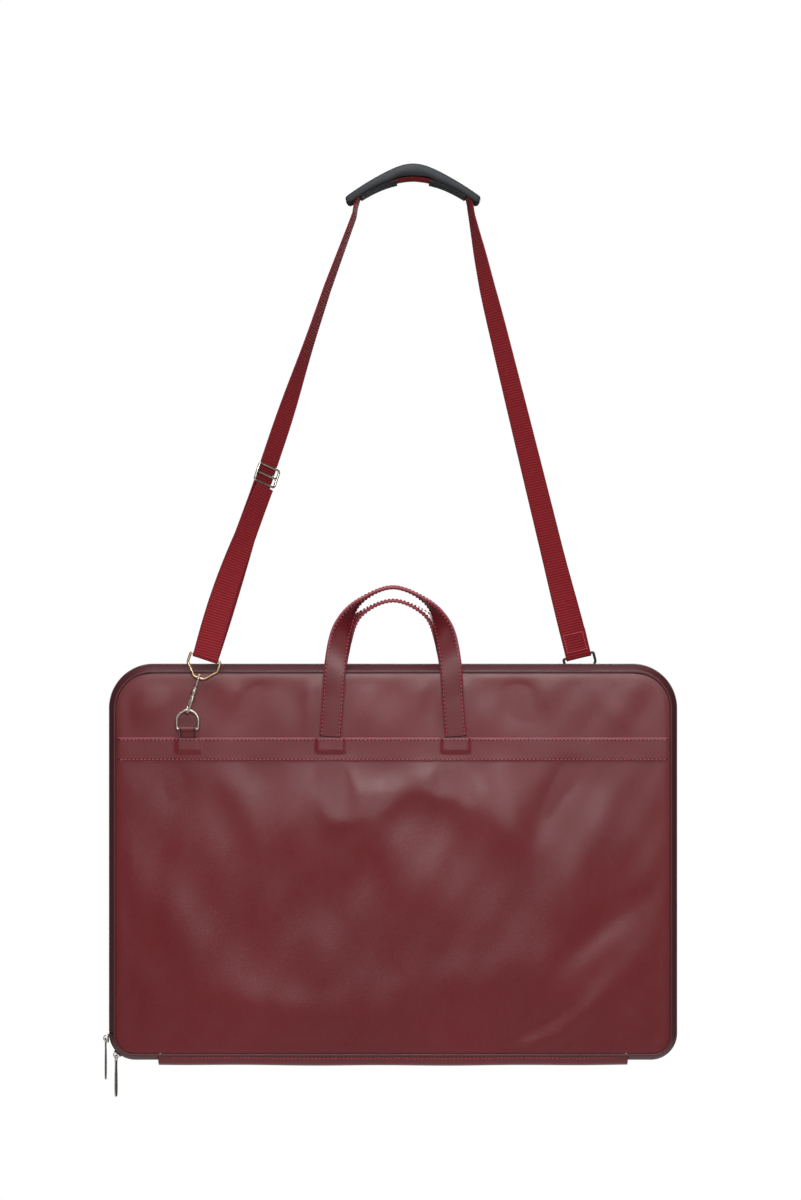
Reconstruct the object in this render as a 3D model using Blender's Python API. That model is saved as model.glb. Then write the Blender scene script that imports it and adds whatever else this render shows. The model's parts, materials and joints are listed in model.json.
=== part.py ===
"""Portfolio case in leather, hung from its shoulder strap.

Metres, +Z up, front face towards -Y. The origin is the middle of the shoulder
pad's underside, where a shoulder or a peg carries the case. The case itself is
modelled from case_frame, an empty at the bottom middle of its zip line.
"""

import math

import bmesh
import bpy
import numpy as np
from mathutils import Matrix, Vector

# ---------------------------------------------------------------- driving dimensions
GAP = 0.0003                      # clearance between touching pieces

CASE_WIDTH = 0.640
CASE_HEIGHT = 0.446
CASE_HALF_DEPTH = 0.0225          # zip line to the outer face of a cover
TOP_RADIUS = 0.050
BOTTOM_RADIUS = 0.030
CASE_X = -0.0225                  # case middle, sideways from the shoulder pad
CASE_TOP_Z = -0.545
CASE_BOTTOM_Z = CASE_TOP_Z - CASE_HEIGHT

PANEL_INSET = 0.0105              # cover edge, inside the outline of the zip
BOARD_INSET = 0.0145              # edge of the board and lining, inside the same outline
LEATHER = 0.0016
BOARD = 0.0018
LINING = 0.0008
PIPING_RADIUS = 0.0016
PIPING_INSET = PANEL_INSET - PIPING_RADIUS - GAP
PIPING_Y = CASE_HALF_DEPTH - 0.0015

GUSSET_WALL = 0.0014
GUSSET_FROM = 0.0062              # the gusset's edges, from the zip line
GUSSET_TO = 0.0191
GUSSET_CURVE = 0.0098             # how far it curves in from the outline by its outer edge
# Sections, as (distance inside the outline, distance from the zip line)
TAPE = ((0.0006, 0.0021), (0.0008, 0.0059), (0.0016, 0.0059), (0.0014, 0.0021))
TEETH = ((0.0, 0.0002), (0.0, 0.0018), (0.0022, 0.0018), (0.0022, 0.0002))
SPINE_LINE = ((-0.0045, 0.0004), (-0.0046, 0.0050), (-0.0040, 0.0100), (-0.0010, 0.0155),
              (0.0045, 0.0185), (0.0090, 0.0193))
SPINE_WALL = 0.0018

SPINE_HALF = 0.263                # half length of the leather spine under the case
FOLD_Y = 0.0035                   # fold line of the spine
FOLD_Z = -0.0065
CORNER_TOP = 0.0310               # where the closed zip corner ends, on the left side
CORNER_GAP = 0.0012

BAND_HEIGHT = 0.027
BAND_TOP = CASE_HEIGHT - 0.082
BAND_THICK = 0.0020
BAND_END = 0.0020                 # each end of the band, inside the cover's edge
BAND_CORNER = 0.0012

HANDLE_WIDTH = 0.025
HANDLE_THICK = 0.0036
HANDLE_SPREAD = 0.070             # middle of each leg, from the case middle
FRONT_HANDLE_RISE = 0.086         # arch above the top of the case
BACK_HANDLE_RISE = 0.071

CLIP_Y = 0.0310                   # plane of the D-rings, from the zip line
WIRE = 0.0015                     # radius of ring wire
D_RING_WIDTH = 0.027
D_RING_X = 0.229                  # D-ring middle, from the case middle
D_RING_TOP = CASE_HEIGHT - 0.051  # wire centre at the top of a D-ring
D_RING_BAR = D_RING_TOP - 0.021
TAB_WIDTH = 0.0200
TAB_PLY = 0.0014
TAB_HALF = 0.0016                 # half of the folded tab's thickness where it is sewn
TAB_SLIT = 0.0002                 # half of the gap between its two plies
D_RING_BEND = 0.0025
TAB_BORE = WIRE + GAP
LINK_X = 0.2165                   # where a hook's eye hangs on the strap's ring
LINK_Z = CASE_HEIGHT - 0.015

HOOK_TURN = 20                    # degrees that a hook is turned from square on
BOW_RADIUS = 0.0042
BOW_WIRE = 0.0013
BARREL_RADIUS = 0.0026
BARREL_FOOT = 0.0195              # along the hook, from its D-ring's wire
BARREL_TOP = 0.0265
NOSE = 0.0040
GATE_X = -0.0027
GATE_PIVOT = 0.0165
GATE_WIRE = 0.0010
EYE_RADIUS = 0.0041
EYE_WIRE = 0.0011
EYE_DROP = 0.0012                 # eye's middle below the ring's wire

WEB_WIDTH = 0.029
WEB_THICK = 0.0018
LEG_TOP = (0.0660, -0.0400)       # where the straight run of a leg starts, in X and Z
WEB_SPLIT = 0.0600                # where the webbing comes out from under the pad
LEFT_TURNS = ((0.0, 0.3, 0.46, 0.64, 0.8, 0.95, 1.0), (6, 18, 38, 38, 62, 86, 90))
RIGHT_TURNS = ((0.0, 0.05, 0.2, 0.5, 0.8, 0.95, 1.0), (6, 20, 38, 50, 60, 84, 90))
RETURN_LEFT = 0.203               # doubled webbing, from the ring up to the length slider
RETURN_RIGHT = 0.030
RING_HALF = 0.0175
RING_HEIGHT = 0.0240
RING_FOOT = 0.0055                # half of the ring's lower bar
RING_SHOULDER = 0.0130            # height at which the ring reaches its full width
RING_BEND = 0.002
BUCKLE_SHARE = 0.59               # of the way down the left leg
BUCKLE_WIDTH = 0.0360
BUCKLE_HEIGHT = 0.0200
BUCKLE_WIRE = 0.0014
PAD_LENGTH = 0.150
PAD_MIDDLE = 0.0095
PAD_DROP = 0.0335                 # ends of the pad, below its middle
PAD_BEND = 1.5                    # power of the pad's curve: 1 is a peaked roof, 2 a round arch
PAD_EDGE = 0.0064                 # thickness at the ends
PAD_SWELL = 0.0074                # extra thickness in the middle
PAD_SWELL_REACH = 0.030
PAD_WIDTH = 0.052
PAD_TAPER = 0.22                  # share of its width that the pad loses towards its ends

SLIDER_LENGTH = 0.010
SLIDER_WIDTH = 0.0085
SLIDER_THICK = 0.0018
SLIDER_A_Z = 0.024
SLIDER_B_ANGLE = math.radians(229)
BAIL_WIRE = 0.0006
PULL_LENGTH = 0.047
PULL_WIDTH = 0.0062
PULL_THICK = 0.0012
PULL_BAR = 0.0006                 # top edge of a pull, above its axis
PULL_OUT = 0.0036                 # pull's axis, outside the zip

COLOURS = {
    "leather": ((0.125, 0.012, 0.020), 0.38, 0.0),
    "edge_leather": ((0.105, 0.014, 0.020), 0.50, 0.0),
    "webbing": ((0.300, 0.016, 0.022), 0.75, 0.0),
    "zip_fabric": ((0.075, 0.022, 0.026), 0.80, 0.0),
    "zip_teeth": ((0.080, 0.045, 0.032), 0.45, 0.0),
    "board": ((0.350, 0.300, 0.240), 0.90, 0.0),
    "lining": ((0.030, 0.028, 0.030), 0.85, 0.0),
    "pad_rubber": ((0.022, 0.026, 0.030), 0.60, 0.0),
    "nickel": ((0.620, 0.580, 0.500), 0.25, 1.0),
    "dark_metal": ((0.060, 0.055, 0.050), 0.35, 1.0),
}


# ---------------------------------------------------------------- scene and objects
def clear_scene():
    for obj in list(bpy.data.objects):
        bpy.data.objects.remove(obj, do_unlink=True)


def make_material(name, colour, roughness, metallic):
    material = bpy.data.materials.new(name)
    material.use_nodes = True
    shader = material.node_tree.nodes["Principled BSDF"]
    shader.inputs["Base Color"].default_value = (*colour, 1.0)
    shader.inputs["Roughness"].default_value = roughness
    shader.inputs["Metallic"].default_value = metallic
    return material


def place(name, data, finish, parent=None):
    """Puts a mesh or curve into the collection as one sub-part with its own material."""
    obj = bpy.data.objects.new(name, data)
    colour, roughness, metallic = COLOURS[finish]
    data.materials.append(make_material(name + "_" + finish, colour, roughness, metallic))
    PARTS.objects.link(obj)
    if parent:
        obj.parent = parent
    return obj


def empty(name, location, parent=None):
    obj = bpy.data.objects.new(name, None)
    obj.location = location
    obj.parent = parent
    PARTS.objects.link(obj)
    return obj


def loft(name, sections, finish, parent=None, closed=False):
    """A solid through sections of the same number of points, closed on itself or capped."""
    mesh = bmesh.new()
    rings = [[mesh.verts.new(point) for point in section] for section in sections]
    count = len(rings[0])
    pairs = list(zip(rings, rings[1:] + rings[:1])) if closed else list(zip(rings, rings[1:]))
    for ring, following in pairs:
        for i in range(count):
            j = (i + 1) % count
            mesh.faces.new((ring[i], ring[j], following[j], following[i]))
    if not closed:
        mesh.faces.new(rings[0])
        mesh.faces.new(list(reversed(rings[-1])))
    bmesh.ops.recalc_face_normals(mesh, faces=mesh.faces)
    data = bpy.data.meshes.new(name)
    mesh.to_mesh(data)
    mesh.free()
    data.shade_smooth()
    data.set_sharp_from_angle(angle=math.radians(40))
    return place(name, data, finish, parent)


def wire(name, points, radius, finish, parent=None, cyclic=False, radii=None):
    """A round wire through the points, as a curve with a bevel."""
    curve = bpy.data.curves.new(name, "CURVE")
    curve.dimensions = "3D"
    curve.bevel_depth = radius
    curve.bevel_resolution = 2
    curve.use_fill_caps = True
    spline = curve.splines.new("POLY")
    spline.points.add(len(points) - 1)
    for index, (point, target) in enumerate(zip(points, spline.points)):
        target.co = (*point, 1.0)
        target.radius = radii[index] if radii else 1.0
    spline.use_cyclic_u = cyclic
    return place(name, curve, finish, parent)


def plate(name, outlines, thickness, finish, parent=None):
    """A flat sheet, drawn in X and Z, from its outline and its holes."""
    curve = bpy.data.curves.new(name, "CURVE")
    curve.dimensions = "2D"
    curve.fill_mode = "BOTH"
    curve.extrude = thickness / 2
    for outline in outlines:
        spline = curve.splines.new("POLY")
        spline.points.add(len(outline) - 1)
        for (x, z), target in zip(outline, spline.points):
            target.co = (x, z, 0.0, 1.0)
        spline.use_cyclic_u = True
    obj = place(name, curve, finish, parent)
    obj.rotation_euler = (math.radians(90), 0.0, 0.0)
    return obj


# ---------------------------------------------------------------- shapes that repeat
def arc(centre, radius, start, end, steps):
    """Points of an arc in a plane, angles in degrees."""
    angles = np.radians(np.linspace(start, end, steps + 1))
    return [(centre[0] + radius * math.cos(a), centre[1] + radius * math.sin(a)) for a in angles]


def rounded_rectangle(width, height, radius, steps=3):
    corners = ((1, 1, 0), (-1, 1, 90), (-1, -1, 180), (1, -1, 270))
    points = []
    for side_x, side_z, start in corners:
        centre = (side_x * (width / 2 - radius), side_z * (height / 2 - radius))
        points += arc(centre, radius, start, start + 90, steps)
    return points


def corner_stations(centre_x, centre_z, radius, start, end, steps):
    """Points on a corner of the case's outline, each with its outward normal."""
    found = []
    for angle in np.radians(np.linspace(start, end, steps + 1)):
        normal = (math.cos(angle), math.sin(angle))
        found.append(((centre_x + radius * normal[0], centre_z + radius * normal[1]), normal))
    return found


def case_corners():
    """The case's four corners, clockwise seen from the front, from the bottom left one."""
    side = CASE_WIDTH / 2
    low, high = BOTTOM_RADIUS, TOP_RADIUS
    return (
        corner_stations(-side + low, low, low, 270, 180, 6),
        corner_stations(-side + high, CASE_HEIGHT - high, high, 180, 90, 9),
        corner_stations(side - high, CASE_HEIGHT - high, high, 90, 0, 9),
        corner_stations(side - low, low, low, 0, -90, 6),
    )


def outline(inset):
    """The closed outline of the case, as far inside the zip line as inset."""
    stations = [station for corner in case_corners() for station in corner]
    return [(p[0] - inset * n[0], p[1] - inset * n[1]) for p, n in stations]


def zip_path():
    """Outline stations of the opening part: from the left side, over the top, to the spine."""
    corners = case_corners()
    start = ((-CASE_WIDTH / 2, CORNER_TOP + CORNER_GAP), (-1.0, 0.0))
    end = ((SPINE_HALF + CORNER_GAP, 0.0), (0.0, -1.0))
    return [start, *corners[1], *corners[2], *corners[3], end]


def closed_corner_path():
    """Outline stations of the bottom left corner, from the spine to the left side."""
    start = ((-SPINE_HALF - CORNER_GAP, 0.0), (0.0, -1.0))
    end = ((-CASE_WIDTH / 2, CORNER_TOP), (-1.0, 0.0))
    return [start, *case_corners()[0], end]


def whole_zip_path():
    return closed_corner_path()[:-1] + zip_path()[1:]


def swept(stations, section, side):
    """Section points (inset, distance from the zip line) at each station; side is -1 in front."""
    return [
        [Vector((p[0] - inset * n[0], side * y, p[1] - inset * n[1])) for inset, y in section]
        for p, n in stations
    ]


def wall_section(line, thickness):
    """A wall of even thickness inside a line of (inset, y) points."""
    points = np.array(line)
    along = np.gradient(points, axis=0)
    along /= np.linalg.norm(along, axis=1)[:, None]
    inner = points + thickness * np.stack([along[:, 1], -along[:, 0]], axis=1)
    return [tuple(p) for p in points] + [tuple(p) for p in inner[::-1]]


def gusset_line(steps):
    """The gusset's outer line: a quarter wave from the zip out to the piping."""
    found = []
    for y in np.linspace(GUSSET_FROM, GUSSET_TO, steps + 1):
        found.append((GUSSET_CURVE * (1 - math.cos(0.5 * math.pi * y / GUSSET_TO)), y))
    return found


def ribbon_section(centre, across, normal, width, thickness):
    """A flat band's section with rounded edges."""
    half, edge = width / 2, thickness / 2
    shape = ((1, 0), (0.96, 1), (0, 1), (-0.96, 1), (-1, 0), (-0.96, -1), (0, -1), (0.96, -1))
    return [centre + across * (a * half) + normal * (b * edge) for a, b in shape]


def smooth_route(points, steps):
    """Points along a smooth curve through the given ones (Catmull-Rom)."""
    knots = [np.array(p, float) for p in points]
    knots = [2 * knots[0] - knots[1], *knots, 2 * knots[-1] - knots[-2]]
    found = []
    for a, b, c, d in zip(knots, knots[1:], knots[2:], knots[3:]):
        for t in np.arange(steps) / steps:
            found.append(0.5 * (2 * b + (c - a) * t + (2 * a - 5 * b + 4 * c - d) * t ** 2
                                + (3 * b - a - 3 * c + d) * t ** 3))
    found.append(knots[-2])
    return [Vector(p) for p in found]


def ribbon(name, route, across, width, thickness, finish, parent=None):
    """A band along a route; across gives its width direction at each of its points."""
    sections = []
    for i, centre in enumerate(route):
        along = (route[min(i + 1, len(route) - 1)] - route[max(i - 1, 0)]).normalized()
        side = (across[i] - along * across[i].dot(along)).normalized()
        wide = width[i] if hasattr(width, "__len__") else width
        thick = thickness[i] if hasattr(thickness, "__len__") else thickness
        sections.append(ribbon_section(centre, side, along.cross(side), wide, thick))
    return loft(name, sections, finish, parent)


def turning(start, end, count, begin=0.0, finish=1.0):
    """Width directions that turn smoothly from start to end between two shares of a route."""
    found = []
    for share in np.linspace(0, 1, count):
        t = min(max((share - begin) / (finish - begin), 0.0), 1.0)
        t = t * t * (3 - 2 * t)
        found.append((Vector(start) * (1 - t) + Vector(end) * t).normalized())
    return found


# ---------------------------------------------------------------- the case
def build_cover(face, side, frame):
    """The layers of one cover: leather, stiffener, lining, piping and the band across it."""
    depth = CASE_HALF_DEPTH
    layers = (
        ("leather_panel", LEATHER, depth - LEATHER / 2, PANEL_INSET, "leather"),
        ("stiffener_board", BOARD, depth - LEATHER - GAP - BOARD / 2, BOARD_INSET, "board"),
        ("lining", LINING, depth - LEATHER - BOARD - 2 * GAP - LINING / 2, BOARD_INSET,
         "lining"),
    )
    for layer, thickness, y, inset, finish in layers:
        panel = plate(f"{face}_{layer}", [outline(inset)], thickness, finish, frame)
        panel.location = (0.0, side * y, 0.0)
    stations = [station for corner in case_corners() for station in corner]
    centres = [(p[0] - PIPING_INSET * n[0], side * PIPING_Y, p[1] - PIPING_INSET * n[1])
               for p, n in stations]
    wire(f"{face}_piping", centres, PIPING_RADIUS, "edge_leather", frame, cyclic=True)
    length = CASE_WIDTH - 2 * (PANEL_INSET + BAND_END)
    band = plate(f"{face}_band", [rounded_rectangle(length, BAND_HEIGHT, BAND_CORNER, 2)],
                 BAND_THICK, "leather", frame)
    band.location = (0.0, side * (depth + GAP + BAND_THICK / 2), BAND_TOP - BAND_HEIGHT / 2)


def build_gusset(face, side, frame, path):
    """Half of the wall between the covers, with its half of the zip."""
    gusset = wall_section(gusset_line(5), GUSSET_WALL)
    loft(f"{face}_gusset", swept(path, gusset, side), "edge_leather", frame)
    loft(f"{face}_zip_tape", swept(path, TAPE, side), "zip_fabric", frame)
    loft(f"{face}_zip_teeth", swept(path, TEETH, side), "zip_teeth", frame)


def build_spine(face, side, frame):
    """Half of the leather spine that joins the covers under the case."""
    section = wall_section(SPINE_LINE, SPINE_WALL)
    ends = [((x, 0.0), (0.0, -1.0)) for x in (-SPINE_HALF, SPINE_HALF)]
    loft(f"{face}_spine", swept(ends, section, side), "leather", frame)


def build_handle(face, side, frame, rise):
    """A carrying handle: two flat legs sewn to the cover, turning on edge into an arch."""
    leg_depth = CASE_HALF_DEPTH + GAP + HANDLE_THICK / 2
    axis_depth = leg_depth + HANDLE_THICK / 2
    hinge = empty(f"{face}_handle_axis", (0.0, side * axis_depth, BAND_TOP), frame)
    top = CASE_HEIGHT - BAND_TOP + rise
    leg = (
        (-HANDLE_SPREAD, leg_depth, 0.0016),
        (-HANDLE_SPREAD + 0.003, leg_depth + 0.0012, 0.042),
        (-HANDLE_SPREAD + 0.006, leg_depth + 0.0018, 0.084),
        (-HANDLE_SPREAD + 0.014, 0.0180, top - 0.044),
        (-0.036, 0.0070, top - 0.015),
        (0.0, 0.0010, top),
    )
    whole = [*leg, *((-x, depth, z) for x, depth, z in reversed(leg[:-1]))]
    route = smooth_route([(x, side * (depth - axis_depth), z) for x, depth, z in whole], 4)
    rising = turning((1, 0, 0), (0, -side, 0), len(route) // 2 + 1, 0.25, 1.0)
    falling = [Vector((-v.x, v.y, v.z)) for v in reversed(rising[:-1])]
    ribbon(f"{face}_handle", route, rising + falling, HANDLE_WIDTH, HANDLE_THICK, "leather",
           hinge)


# ---------------------------------------------------------------- the strap's fastenings
def clip_axis(side):
    """The line of a snap hook, from the top of its D-ring to the strap's ring."""
    foot = Vector((side * D_RING_X, side * CLIP_Y, D_RING_TOP))
    head = Vector((side * LINK_X, side * CLIP_Y, LINK_Z))
    return foot, (head - foot).normalized(), (head - foot).length


def build_tab(face, side, frame):
    """The leather tab folded round a D-ring's bar and sewn under the band."""
    bar = Vector((side * CLIP_Y, D_RING_BAR))
    anchor = Vector((side * (CASE_HALF_DEPTH + 0.0018), BAND_TOP + 0.0014))
    along = (anchor - bar).normalized()
    across = Vector((-along.y, along.x))
    reach = (anchor - bar).length
    outer, inner, slit, half = TAB_PLY + TAB_BORE, TAB_BORE, TAB_SLIT, TAB_HALF
    wide = math.degrees(math.asin(half / outer))
    narrow = math.degrees(math.asin(slit / inner))
    shape = [(reach, half), *arc((0, 0), outer, wide, 360 - wide, 10), (reach, -half),
             (reach, -slit), *arc((0, 0), inner, 360 - narrow, narrow, 10), (reach, slit)]
    places = [bar + along * a + across * b for a, b in shape]
    sections = [[Vector((side * D_RING_X + x, p.x, p.y)) for p in places]
                for x in (-TAB_WIDTH / 2, TAB_WIDTH / 2)]
    loft(f"{face}_ring_tab", sections, "leather", frame)


def build_d_ring(face, side, frame):
    radius = D_RING_WIDTH / 2 - WIRE
    centre = (side * D_RING_X, D_RING_TOP - radius)
    bend = D_RING_BEND
    left, right, low = centre[0] - radius, centre[0] + radius, D_RING_BAR
    points = [*arc(centre, radius, 0, 180, 12),
              *arc((left + bend, low + bend), bend, 180, 270, 3),
              *arc((right - bend, low + bend), bend, 270, 360, 3)]
    wire(f"{face}_d_ring", [(x, side * CLIP_Y, z) for x, z in points], WIRE, "nickel", frame,
         cyclic=True)


def build_hook(face, side, frame):
    """A swivel snap hook: its bow round the D-ring, its sprung gate, and its eye."""
    foot, up, length = clip_axis(side)
    turn = Matrix.Rotation(math.radians(HOOK_TURN), 3, up)
    out = turn @ Vector((0, side, 0))

    swivel = empty(f"{face}_hook_axis", foot, frame)
    bow = BOW_RADIUS
    low = bow - (2 * WIRE - 0.0002 + GAP)
    points = [(0.0, BARREL_TOP), (0.0, BARREL_FOOT), (0.0004, BARREL_FOOT - 0.0008),
              (bow, BARREL_FOOT - 0.0050), *arc((0.0, low), bow, 0, -180, 10),
              (-bow, NOSE)]
    radii = [BARREL_RADIUS] * 2 + [BOW_WIRE] * (len(points) - 2)
    wire(f"{face}_hook", [out * a + up * b for a, b in points], 1.0, "nickel", swivel,
         radii=radii)

    pivot = out * GATE_X + up * GATE_PIVOT
    gate = empty(f"{face}_gate_axis", pivot, swivel)
    tip = out * -bow + up * (NOSE + BOW_WIRE + GAP) - pivot
    wire(f"{face}_hook_gate", [Vector((0, 0, 0)), tip * 0.5, tip], GATE_WIRE, "nickel", gate)

    eye = length - EYE_DROP
    loop = [(0.0, BARREL_TOP + GAP), (0.0, eye - EYE_RADIUS - 0.0018),
            *arc((0.0, eye), EYE_RADIUS, -50, 225, 12)]
    wire(f"{face}_hook_eye", [foot + Vector((0, side, 0)) * a + up * b for a, b in loop],
         EYE_WIRE, "nickel", frame)


def build_slider(name, angle, z, frame):
    """A zip slider's plate and bail, and its pull hanging from the bail."""
    out = Vector((math.cos(angle), 0, math.sin(angle)))
    if z is None:
        spot = Vector((-CASE_WIDTH / 2 + BOTTOM_RADIUS, 0, BOTTOM_RADIUS)) + out * BOTTOM_RADIUS
    else:
        spot = Vector((-CASE_WIDTH / 2, 0, z))
    base = empty(f"{name}_seat", spot, frame)
    base.rotation_euler = (0, -angle, 0)
    body = [(-1, -0.55), (-0.7, -1), (0.7, -0.8), (1, -0.4), (1, 0.4), (0.7, 0.8), (-0.7, 1),
            (-1, 0.55)]
    sections = [[Vector((x, b * SLIDER_WIDTH / 2 * k, a * SLIDER_LENGTH / 2 * k)) for a, b in body]
                for x, k in ((GAP, 1.0), (0.7 * SLIDER_THICK, 1.0), (SLIDER_THICK, 0.8))]
    loft(f"{name}_body", sections, "nickel", base)
    foot = SLIDER_THICK + GAP + BAIL_WIRE
    bail = [(foot, -0.0032), (foot + 0.0016, -0.0030), (foot + 0.0030, -0.0016),
            (foot + 0.0030, 0.0016), (foot + 0.0016, 0.0030), (foot, 0.0032)]
    wire(f"{name}_bail", [(x, 0, z) for x, z in bail], BAIL_WIRE, "nickel", base)


def build_pull(name, pivot, spin, frame):
    """A zip pull: a long flat tag whose top bar sits in the bail."""
    hang = empty(f"{name}_axis", pivot, frame)
    half, foot = PULL_WIDTH / 2, PULL_BAR - PULL_LENGTH
    shape = [(half * 0.8, PULL_BAR), (half, PULL_BAR - 0.002), (half * 0.75, -0.011),
             (half, -0.020), (half, foot + 0.003), (half * 0.5, foot)]
    edge = shape + [(-x, z) for x, z in reversed(shape)]
    hole = [(x, z - 0.0033) for x, z in rounded_rectangle(PULL_WIDTH - 0.0024, 0.0054, 0.001, 2)]
    tag = plate(name, [edge, hole], PULL_THICK, "nickel", hang)
    tag.rotation_euler = (math.radians(90), 0, math.radians(90 + spin))


# ---------------------------------------------------------------- the shoulder strap
def pad_mid(x):
    """Height of the shoulder pad's middle surface."""
    return PAD_MIDDLE - PAD_DROP * abs(2 * x / PAD_LENGTH) ** PAD_BEND


def pad_thickness(x):
    return PAD_EDGE + PAD_SWELL * math.exp(-(x / PAD_SWELL_REACH) ** 2)


def web_under_pad(x):
    slope = PAD_DROP * PAD_BEND * 2 / PAD_LENGTH * abs(2 * x / PAD_LENGTH) ** (PAD_BEND - 1)
    return pad_mid(x) - (pad_thickness(x) / 2 + 2.5 * GAP + WEB_THICK / 2) * math.hypot(1, slope)


def build_pad(strap):
    xs = np.linspace(-PAD_LENGTH / 2, PAD_LENGTH / 2, 17)
    route = [Vector((x, 0, pad_mid(x))) for x in xs]
    widths = [PAD_WIDTH * (1 - PAD_TAPER * abs(2 * x / PAD_LENGTH) ** 3) for x in xs]
    thick = [pad_thickness(x) for x in xs]
    ribbon("shoulder_pad", route, [Vector((0, 1, 0))] * len(xs), widths, thick, "pad_rubber",
           strap)


def build_ring(name, side, finish, strap):
    """A six-sided wire ring at an end of the strap; its lower bar carries a hook's eye."""
    shape = [(-RING_FOOT, 0.0), (RING_FOOT, 0.0), (RING_HALF, RING_SHOULDER),
             (RING_HALF, RING_HEIGHT), (-RING_HALF, RING_HEIGHT), (-RING_HALF, RING_SHOULDER)]
    points = []
    for before, corner, after in zip(shape[-1:] + shape[:-1], shape, shape[1:] + shape[:1]):
        here = Vector(corner)
        start = here + (Vector(before) - here).normalized() * RING_BEND
        end = here + (Vector(after) - here).normalized() * RING_BEND
        points += [start, (start + end + 2 * here) / 4, end]
    _, link = leg_line(side)
    down, across, _ = leg_frame(side, 1, LEFT_TURNS)
    wire(name, [link + across * p.x - down * p.y for p in points], WIRE, finish, strap,
         cyclic=True)


def leg_line(side):
    """Where a leg of the strap leaves the pad, and where the hook's eye hangs on its ring."""
    top = Vector((side * LEG_TOP[0], 0.0, LEG_TOP[1]))
    link = Vector((CASE_X + side * LINK_X, side * CLIP_Y, CASE_BOTTOM_Z + LINK_Z))
    return top, link


def leg_bar(side):
    """Middle of the ring's upper bar, which the webbing turns round."""
    top, link = leg_line(side)
    return link - (link - top).normalized() * RING_HEIGHT


def leg_frame(side, share, turns):
    """The way down a leg, its webbing's width direction and the direction of its front face."""
    top, link = leg_line(side)
    down = (link - top).normalized()
    flat = Vector((0, 1, 0)).cross(down).normalized()
    edge_on = Vector((0, side, 0))
    angle = math.radians(np.interp(share, *turns))
    across = edge_on * math.cos(angle) + flat * math.sin(angle)
    across = (across - down * across.dot(down)).normalized()
    front = down.cross(across)
    return down, across, front if down.cross(flat).y < 0 else -front


def build_leg(name, side, turns, return_length, face, strap):
    """A leg of webbing: down from the pad, round the ring's bar and back up.

    The long ply lies in front of the ring's bar if face is 1, and behind it if face is -1.
    """
    top, bar = leg_line(side)[0], leg_bar(side)
    length = (bar - top).length
    shift = face * (WIRE + GAP + WEB_THICK / 2)
    start = Vector((side * WEB_SPLIT, 0, web_under_pad(WEB_SPLIT)))
    down, across, front = leg_frame(side, 0, turns)
    route = [start, start.lerp(top, 0.5) + Vector((side * 0.0012, 0, 0.0020))]
    widths = [Vector((0, 1, 0)), across]
    for share in np.linspace(0, 1, 29):
        down, across, front = leg_frame(side, share, turns)
        route.append(top + down * (length * share) + front * (shift * min(share * 6, 1)))
        widths.append(across)
    for angle in np.radians(np.linspace(30, 180, 6)):
        ahead, below = shift * math.cos(angle), abs(shift) * math.sin(angle)
        route.append(bar + front * ahead + down * below)
        widths.append(across)
    steps = 3 + int(return_length / 0.02)
    for back in np.linspace(0, return_length, steps)[1:]:
        down, across, front = leg_frame(side, 1 - back / length, turns)
        route.append(bar - front * shift - down * back)
        widths.append(across)
    ribbon(name, route, widths, WEB_WIDTH, WEB_THICK, "webbing", strap)


def build_buckle(strap):
    """The length slider on the left leg, between the webbing's two plies."""
    down, across, _ = leg_frame(-1, BUCKLE_SHARE, LEFT_TURNS)
    middle = leg_line(-1)[0].lerp(leg_bar(-1), BUCKLE_SHARE)
    centre = empty("buckle_middle", middle, strap)
    frame = rounded_rectangle(BUCKLE_WIDTH, BUCKLE_HEIGHT, 0.003)
    wire("buckle_frame", [across * a + down * b for a, b in frame], BUCKLE_WIRE, "nickel", centre,
         cyclic=True)
    reach = BUCKLE_WIDTH / 2 - BUCKLE_WIRE - GAP
    wire("buckle_bar", [across * a for a in (-reach, 0, reach)], BUCKLE_WIRE, "nickel", centre)


def build_strap():
    strap = empty("strap_frame", (0, 0, 0))
    build_pad(strap)
    build_ring("left_strap_ring", -1, "nickel", strap)
    build_ring("right_strap_ring", 1, "dark_metal", strap)
    edge = WEB_SPLIT - 3 * GAP
    xs = np.linspace(-edge, edge, 15)
    ribbon("webbing_under_pad", [Vector((x, 0, web_under_pad(x))) for x in xs],
           [Vector((0, 1, 0))] * len(xs), WEB_WIDTH, WEB_THICK, "webbing", strap)
    build_leg("webbing_left", -1, LEFT_TURNS, RETURN_LEFT, -1, strap)
    build_leg("webbing_right", 1, RIGHT_TURNS, RETURN_RIGHT, 1, strap)
    build_buckle(strap)


def build_case():
    frame = empty("case_frame", (CASE_X, 0, CASE_BOTTOM_Z))
    cover = empty("front_cover_axis", (0, FOLD_Y, FOLD_Z), frame)
    front = empty("front_cover_frame", (0, -FOLD_Y, -FOLD_Z), cover)
    for face, side, holder, rise in (("front", -1, front, FRONT_HANDLE_RISE),
                                     ("back", 1, frame, BACK_HANDLE_RISE)):
        build_cover(face, side, holder)
        build_gusset(face, side, holder, zip_path() if side < 0 else whole_zip_path())
        build_spine(face, side, holder)
        build_handle(face, side, holder, rise)
        build_tab(face, side, holder)
        build_d_ring(face, side, holder)
        build_hook(face, side, holder)
    build_gusset("closed_corner", -1, frame, closed_corner_path())
    build_slider("side_slider", math.pi, SLIDER_A_Z, frame)
    build_slider("corner_slider", SLIDER_B_ANGLE, None, frame)
    side_pivot = Vector((-CASE_WIDTH / 2 - PULL_OUT, 0, SLIDER_A_Z))
    corner = Vector((-CASE_WIDTH / 2 + BOTTOM_RADIUS, 0, BOTTOM_RADIUS))
    out = Vector((math.cos(SLIDER_B_ANGLE), 0, math.sin(SLIDER_B_ANGLE)))
    build_pull("side_pull", side_pivot, 20, frame)
    build_pull("corner_pull", corner + out * (BOTTOM_RADIUS + PULL_OUT), -18, frame)


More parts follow.
